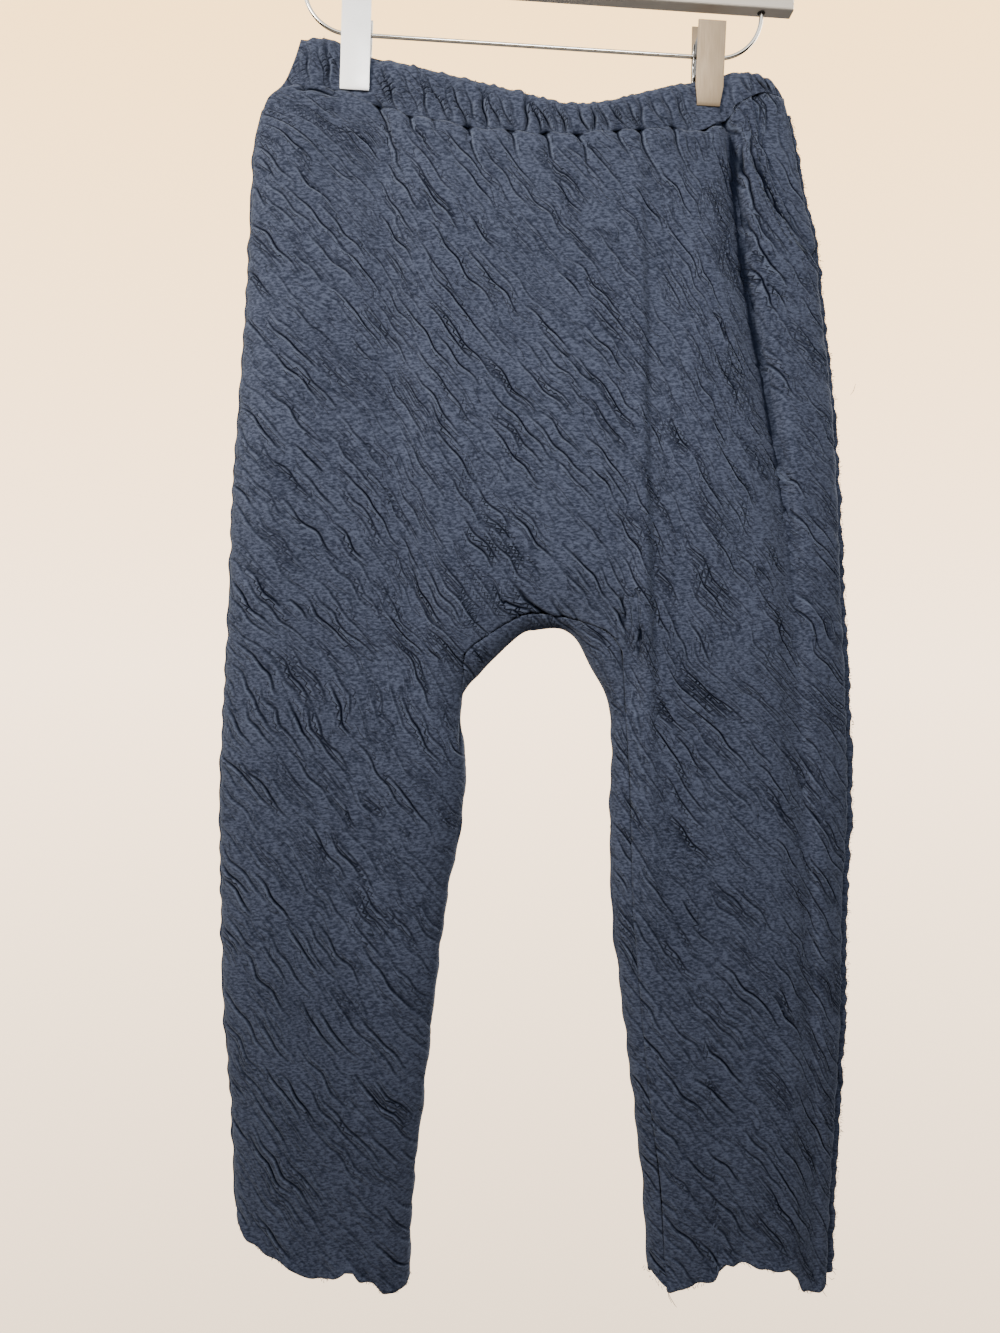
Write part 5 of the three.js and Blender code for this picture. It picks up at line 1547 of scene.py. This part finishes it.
def make_fuzz():
    """Short fibres along the right side, the hems and the waist, and six longer threads."""
    rng = np.random.default_rng(77)
    paths = []

    def fibre(root, direction, length, curl):
        direction = direction / np.linalg.norm(direction)
        side = np.cross(direction, rng.normal(size=3))
        side = side / max(np.linalg.norm(side), 1e-6)
        half = root + direction * length * 0.55 + side * curl * length * 0.3
        paths.append([root, half, root + direction * length + side * curl * length])

    for z in np.arange(-182, -1046, -1.15):
        out = float(right_edge(z)) + flange_width(z) - 0.3
        root = np.array([out, rng.uniform(-0.6, 1.4), z])
        direction = np.array([1.0, rng.normal() * 0.5, rng.normal() * 0.7])
        fibre(root, direction, rng.uniform(0.6, 2.4), rng.normal() * 0.6)
    for low, high in ((-219, -95), (78, 214)):
        for x in np.arange(low, high, 0.95):
            for side in (-1, 1):
                z = float(straight(x, HEM)) + 0.3
                off = float(stand_off(side, np.array([x]), np.array([z]))[0])
                root = np.array([x, side * (off + rng.uniform(0, 2.4)), z + rng.uniform(0, 1.5)])
                direction = np.array([rng.normal() * 0.5, side * rng.uniform(0, 0.8), -1.0])
                fibre(root, direction, rng.uniform(0.6, 2.6), rng.normal() * 0.5)
    for x in np.arange(-172, 168, 0.8):
        z = float(along(x, BAND_TOP))
        off = float(stand_off(-1, np.array([x]), np.array([z]))[0])
        root = np.array([x, -rng.uniform(0.2, 1.0) * max(off - 3, 0.2), z - 0.3])
        direction = np.array([rng.normal() * 0.6, rng.normal() * 0.4, 1.0])
        fibre(root, direction, rng.uniform(0.5, 1.5), rng.normal() * 0.5)
    # Loose threads at the right hem's ends and at two places of the side seam
    for points in (
        [(91, -14, -1046), (94, -16, -1052), (97, -16, -1057), (98.5, -15, -1059)],
        [(92, -14, -1046), (92.5, -15, -1051), (94.5, -16, -1055)],
        [(208, -6, -1052), (210, -8, -1056), (212.5, -8, -1059.5)],
        [(214, -5, -1046), (217, -6, -1048), (219, -6, -1047)],
        [(232, 1, -652), (234, 0, -656), (235.5, 0, -661)],
        [(234, 1, -388), (236, 0, -385), (237.5, 0, -380)],
    ):
        paths.append([np.array(point, float) for point in points])
    return tube_object("raw_edge_fibres", paths, 0.24, 3)


def cleared_selection():
    if bpy.context.object and bpy.context.object.mode != "OBJECT":
        bpy.ops.object.mode_set(mode="OBJECT")
    bpy.ops.object.select_all(action="DESELECT")


def active_piece(name):
    made = bpy.context.object
    made.name = name
    made.data.name = name
    return made


def placed(made, *turns):
    """Puts the object's place, turn and scale into its mesh, after any further turns."""
    matrix = Matrix.Identity(4)
    for turn in turns:
        matrix = turn @ matrix
    made.data.transform(matrix @ made.matrix_world)
    made.matrix_world = Matrix.Identity(4)
    made.data.update()
    return made


TIP = Matrix.Rotation(math.radians(HANGER_TILT), 4, "Y")


def make_plate(name, x, side, foot_z, width, height, foot, top_radius, lip):
    """A clip's plate: a thin blade with soft corners, its foot drawn in and its lip turned out."""
    cleared_selection()
    middle = (0, PLATE_THICKNESS / 2 * MM * side, height / 2 * MM)
    bpy.ops.mesh.primitive_cube_add(size=1, location=middle)
    plate = active_piece(name)
    plate.scale = (width * MM, PLATE_THICKNESS * MM, height * MM)
    bpy.ops.object.transform_apply(location=True, rotation=False, scale=True)
    bpy.ops.object.mode_set(mode="EDIT")
    for cut in (14, 2.4):
        bpy.ops.mesh.select_all(action="SELECT")
        bpy.ops.mesh.bisect(plane_co=(0, 0, cut * MM), plane_no=(0, 0, 1))
    shape = bmesh.from_edit_mesh(plate.data)
    for vertex in shape.verts:
        if vertex.co.z < 3 * MM:
            vertex.co.x *= foot / width
        if vertex.co.z < 0.5 * MM:
            vertex.co.y += -side * lip * MM
    bmesh.ops.recalc_face_normals(shape, faces=shape.faces)
    bpy.ops.mesh.select_all(action="DESELECT")
    for edge in shape.edges:
        a, b = edge.verts
        upright = abs(a.co.y - b.co.y) > 0.5 * MM
        edge.select = upright and min(a.co.z, b.co.z) > (height - 1) * MM
    bmesh.update_edit_mesh(plate.data)
    bpy.ops.mesh.bevel(offset=top_radius * MM, segments=5)
    bpy.ops.object.mode_set(mode="OBJECT")
    bevel = plate.modifiers.new("soft_edge", "BEVEL")
    bevel.width = 0.22 * MM
    bevel.segments = 3
    bevel.limit_method = "ANGLE"
    bpy.ops.object.modifier_apply(modifier=bevel.name)
    bpy.ops.object.shade_smooth_by_angle(angle=math.radians(40))
    lean = Matrix.Rotation(-side * math.radians(PLATE_LEAN), 4, "X")
    move = Matrix.Translation((x * MM, side * JAW_Y * MM, foot_z * MM))
    return placed(plate, lean, move, TIP)


class PANTS_OT_clips(bpy.types.Operator):
    """Two clips: satin plates, black cheeks and the sprung wires on the rod"""
    bl_idname = "pants.clips"
    bl_label = "Clips"

    def execute(self, context):
        satin = material_named("satin_anodised_aluminium", satin_aluminium)
        shaded = material_named("rolled_satin_aluminium", shaded_aluminium)
        chrome = material_named("chrome_plated_wire", chrome_wire)
        black = material_named("black_oxide_steel", black_cheek)
        # Width, height, width of the foot, radius of the top corners, and how far the lip rolls
        long_plate = (21.2, 68.0, 21.2, 0.8, 0.2)
        short_plate = (20.8, 61.0, 17.4, 1.6, 1.0)
        for label, x, foot_z, front, back in (
            ("left", -CLIP_X, -178.0, long_plate, short_plate),
            ("right", CLIP_X, -173.2, short_plate, long_plate),
        ):
            for face, side, form in (("front", -1, front), ("back", 1, back)):
                plate = make_plate(f"clip_{label}_{face}", x, side, foot_z, *form)
                # The right clip's plates take the aluminium copy with painted shade
                finish = satin if label == "left" else shaded
                dress(plate, finish, "satin_aluminium", f"clip_{label}_{face}_plate")
            coil = make_spring(f"clip_{label}_coil", x)
            dress(coil, chrome, "polished_wire", f"clip_{label}_spring")
            for cheek in ("left", "right"):
                give_finish(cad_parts[f"clip_{label}_{cheek}_cheek"], black)
            dress(make_zigzag(f"clip_{label}_zigzag", x), chrome, "polished_wire")
        return {"FINISHED"}


def swept_wire(name, path, radius, sides=12):
    """A round wire swept along places, from a circle that is extruded and turned ring by ring."""
    path = np.asarray(path, float)
    tangent = np.gradient(path, axis=0)
    tangent = tangent / np.linalg.norm(tangent, axis=1, keepdims=True)
    cleared_selection()
    start = Vector(tangent[0]).to_track_quat("Z", "Y").to_euler()
    bpy.ops.mesh.primitive_circle_add(vertices=sides, radius=radius * MM, fill_type="NGON",
                                      location=tuple(path[0] * MM), rotation=start)
    made = active_piece(name)
    bpy.ops.object.transform_apply(location=True, rotation=True, scale=True)
    shape = bmesh.new()
    shape.from_mesh(made.data)
    previous = list(shape.verts)
    first = [vertex.co.copy() - Vector(path[0] * MM) for vertex in previous]
    turn = Matrix.Identity(3)
    for k in range(1, len(path)):
        bend = Vector(tangent[k - 1]).rotation_difference(Vector(tangent[k])).to_matrix()
        turn = bend @ turn
        current = [shape.verts.new(turn @ offset + Vector(path[k] * MM)) for offset in first]
        for m in range(sides):
            n = (m + 1) % sides
            shape.faces.new((previous[m], previous[n], current[n], current[m]))
        previous = current
    shape.faces.new(list(reversed(previous)))
    bmesh.ops.recalc_face_normals(shape, faces=shape.faces)
    if shape.calc_volume(signed=True) < 0:
        bmesh.ops.reverse_faces(shape, faces=shape.faces)
    shape.to_mesh(made.data)
    shape.free()
    bpy.ops.object.shade_smooth_by_angle(angle=math.radians(50))
    return made


def make_spring(name, x):
    """The clip's coil round the rod."""
    turns = 6.5
    length = 14.8
    share = np.linspace(0, 1, 130)
    angle = share * turns * 2 * math.pi
    across = x - length / 2 + length * share
    y, z = COIL_RADIUS * np.cos(angle), ROD_Z + COIL_RADIUS * np.sin(angle)
    made = swept_wire(name, np.stack([across, y, z], axis=1), SPRING_WIRE, 8)
    return placed(made, TIP)


def make_zigzag(name, x):
    """The spring's bent leg, which shows beside the cheek."""
    top, foot = SPRING_LEG
    path = [(x - 10.9, 1.6 if k % 2 else -1.6, top + (foot - top) * k / 6) for k in range(7)]
    made = swept_wire(name, rounded_line(path), SPRING_WIRE, 8)
    return placed(made, TIP)


class PANTS_OT_hanger(bpy.types.Operator):
    """Hanger: its lacquered bar, the wire rod that carries the clips, and the hook"""
    bl_idname = "pants.hanger"
    bl_label = "Hanger"

    def execute(self, context):
        chrome = material_named("chrome_plated_wire", chrome_wire)
        lacquer = material_named("white_lacquered_wood", white_lacquer)
        give_finish(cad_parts["hanger_bar"], lacquer)
        corner = ROD_HALF_SPAN - ROD_BEND
        path = [(-ROD_HALF_SPAN, 0, BAR_UNDERSIDE - 0.3)]
        for k in range(17):
            angle = math.pi / 2 * k / 16
            across, up = ROD_BEND * math.cos(angle), ROD_BEND * (1 - math.sin(angle))
            path.append((-corner - across, 0, ROD_Z + up))
        path += [(-90, 0, ROD_Z), (-40, 0, ROD_Z)]
        path += [(-x, y, z) for x, y, z in reversed(path)]
        rod = placed(swept_wire("rod_wire", path, sizes().rod_diameter / MM / 2, 20), TIP)
        dress(rod, chrome, "polished_wire", "hanger_rod")
        hook = swept_wire("hook_wire", hook_path(), HOOK_WIRE, 20)
        dress(placed(hook), chrome, "polished_wire", "hanger_hook")
        black = material_named("black_oxide_steel", black_cheek)
        for label, x in (("left", -ROD_HALF_SPAN), ("right", ROD_HALF_SPAN)):
            dress(make_grommet(f"rod_{label}_ring", x), black, "black_cheek")
        return {"FINISHED"}


def hook_path():
    """The hook's stem, its bend to the side and its round."""
    centre = HOOK_WIRE - HOOK_RADIUS
    stem = BAR_TOP + SEAM_GAP
    path = [(0, 0, stem), (0, 0, stem + 5), (0, 0, stem + 9), (3, 0, stem + 17), (12, 0, stem + 24)]
    for k in range(19):
        angle = math.radians(-28 + 13 * k)
        path.append((HOOK_RADIUS * math.cos(angle), 0, centre + HOOK_RADIUS * math.sin(angle)))
    return rounded_line(path)


def make_grommet(name, x):
    """Dark ring where the rod enters the bar."""
    cleared_selection()
    bpy.ops.mesh.primitive_torus_add(
        major_segments=28, minor_segments=10, major_radius=2.3 * MM, minor_radius=0.55 * MM,
        location=(x * MM, 0, (BAR_UNDERSIDE - 0.5) * MM),
    )
    made = active_piece(name)
    bpy.ops.object.mode_set(mode="EDIT")
    bpy.ops.mesh.select_all(action="SELECT")
    bpy.ops.transform.resize(value=(1, 1, 0.8))
    bpy.ops.object.mode_set(mode="OBJECT")
    bpy.ops.object.shade_smooth_by_angle(angle=math.radians(60))
    return placed(made, TIP)


class PANTS_OT_stage(bpy.types.Operator):
    """Stage: plain pale floor and background, soft lights and the camera"""
    bl_idname = "pants.stage"
    bl_label = "Stage"

    def execute(self, context):
        cleared_selection()
        bpy.ops.mesh.primitive_circle_add(vertices=96, radius=1.15, fill_type="NGON",
                                          location=(0, 0, -1.95))
        floor = placed(active_piece("floor"))
        give_finish(floor, material_named("matt_floor_paint", painted_floor))
        make_world()
        # Name, place, aim, watts, width, height, spread in degrees, colour
        for light in (
            ("key_light", (-0.9, -0.92, 0.08), (0.03, 0, -0.42), 5.7, 0.4, 0.4, 95.0, "#FFF7EC"),
            ("front_soft", (0.1, -1.35, 0.3), (0.06, 0, -0.42), 1.9, 0.5, 0.4, 62.0, "#FFFFFF"),
            ("rear_key", (1.2, 1.1, 0.5), (0, 0, -0.6), 34.0, 0.8, 0.8, 180.0, "#FFF8F0"),
        ):
            add_light(*light)
        data = bpy.data.cameras.new("photo_camera")
        data.sensor_fit = "VERTICAL"
        data.sensor_height = SENSOR
        data.lens = SENSOR * PHOTO_FOCAL / PHOTO_HEIGHT
        data.clip_start = 0.02
        data.clip_end = 50
        camera = bpy.data.objects.new("photo_camera", data)
        bpy.context.scene.collection.objects.link(camera)
        camera.location = (-0.0686, -0.741, -0.592)
        camera.rotation_euler = (math.radians(90), 0, math.radians(-3))
        bpy.context.scene.camera = camera
        return {"FINISHED"}


def add_light(name, place, aim, power, width, height, spread, colour):
    data = bpy.data.lights.new(name, "AREA")
    data.shape = "RECTANGLE"
    data.size, data.size_y = width, height
    data.energy = power
    data.spread = math.radians(spread)
    data.color = linear(colour)[:3]
    light = bpy.data.objects.new(name, data)
    bpy.context.scene.collection.objects.link(light)
    light.location = place
    light.rotation_euler = (Vector(aim) - Vector(place)).to_track_quat("-Z", "Y").to_euler()


def make_world():
    """Cream background, a little deeper above, with a gentler level for its light."""
    world = bpy.data.worlds.new("cream_room")
    world.use_nodes = True
    tree = world.node_tree
    tree.nodes.clear()
    direction = add_node(tree, "ShaderNodeTexCoord").outputs["Generated"]
    split = add_node(tree, "ShaderNodeSeparateXYZ", links={"Vector": direction})
    rise = add_node(tree, "ShaderNodeMapRange", inputs={"From Min": -0.55, "From Max": 0.55},
                    links={"Value": split.outputs["Z"]})
    ramp = add_node(tree, "ShaderNodeValToRGB", links={"Fac": rise.outputs["Result"]})
    ramp.color_ramp.elements[0].color = linear("#CBB59B")
    ramp.color_ramp.elements[1].color = linear("#FFCF8A")
    middle = ramp.color_ramp.elements.new(0.5)
    middle.color = linear("#FFE0BC")
    seen = add_node(tree, "ShaderNodeBackground", inputs={"Strength": 4.4},
                    links={"Color": ramp.outputs["Color"]})
    # A room is brighter above than below, which also gives the wire its light and dark lines
    dim = add_node(tree, "ShaderNodeMapRange",
                   inputs={"From Min": -0.5, "From Max": 0.5, "To Min": 0.12, "To Max": 0.36},
                   links={"Value": split.outputs["Z"]})
    light = add_node(tree, "ShaderNodeBackground", inputs={"Color": linear("#D2DAF0")},
                     links={"Strength": dim.outputs["Result"]})
    height = add_node(tree, "ShaderNodeMapRange", inputs={"From Min": -1.0, "From Max": 1.0},
                      links={"Value": split.outputs["Z"]}).outputs["Result"]
    bands = add_node(tree, "ShaderNodeValToRGB", links={"Fac": height})
    bands.color_ramp.elements[0].color = linear("#8C8273")
    bands.color_ramp.elements[1].color = linear("#57534D")
    for place, colour in ((0.16, "#B9AB97"), (0.25, "#0B0A09"), (0.5, "#12110F"), (0.6, "#FFFCF6"),
                          (0.9, "#FFFEFA")):
        bands.color_ramp.elements.new(place).color = linear(colour)
    shine = add_node(tree, "ShaderNodeBackground", inputs={"Strength": 2.4},
                     links={"Color": bands.outputs["Color"]})
    path = add_node(tree, "ShaderNodeLightPath")
    lit = add_node(tree, "ShaderNodeMixShader",
                   links={0: path.outputs["Is Glossy Ray"], 1: light.outputs[0], 2: shine.outputs[0]})
    both = add_node(tree, "ShaderNodeMixShader",
                    links={0: path.outputs["Is Camera Ray"], 1: lit.outputs[0], 2: seen.outputs[0]})
    add_node(tree, "ShaderNodeOutputWorld", links={"Surface": both.outputs[0]})
    bpy.context.scene.world = world


class PANTS_PT_panel(bpy.types.Panel):
    """Lists the sizes, the colours and the pieces"""
    bl_idname = "PANTS_PT_panel"
    bl_label = "Harem pants"
    bl_space_type = "VIEW_3D"
    bl_region_type = "UI"
    bl_category = "Pants"

    def draw(self, context):
        for group in (context.scene.pants_sizes, context.scene.pants_colours):
            for key in group.__annotations__:
                self.layout.prop(group, key)
        for operator in OPERATORS:
            self.layout.operator(operator.bl_idname)


OPERATORS = (
    PANTS_OT_stage, PANTS_OT_hanger, PANTS_OT_clips, PANTS_OT_waistband, PANTS_OT_front,
    PANTS_OT_back, PANTS_OT_pocket, PANTS_OT_allowances, PANTS_OT_fray,
)
CLASSES = (PantsSizes, PantsColours) + OPERATORS + (PANTS_PT_panel,)


def register():
    for item in CLASSES:
        bpy.utils.register_class(item)
    bpy.types.Scene.pants_sizes = bpy.props.PointerProperty(type=PantsSizes)
    bpy.types.Scene.pants_colours = bpy.props.PointerProperty(type=PantsColours)


def unregister():
    del bpy.types.Scene.pants_sizes
    del bpy.types.Scene.pants_colours
    for item in reversed(CLASSES):
        bpy.utils.unregister_class(item)


def main():
    register()
    for operator in OPERATORS:
        group, name = operator.bl_idname.split(".")
        getattr(getattr(bpy.ops, group), name)()


if __name__ == "__main__":
    main()
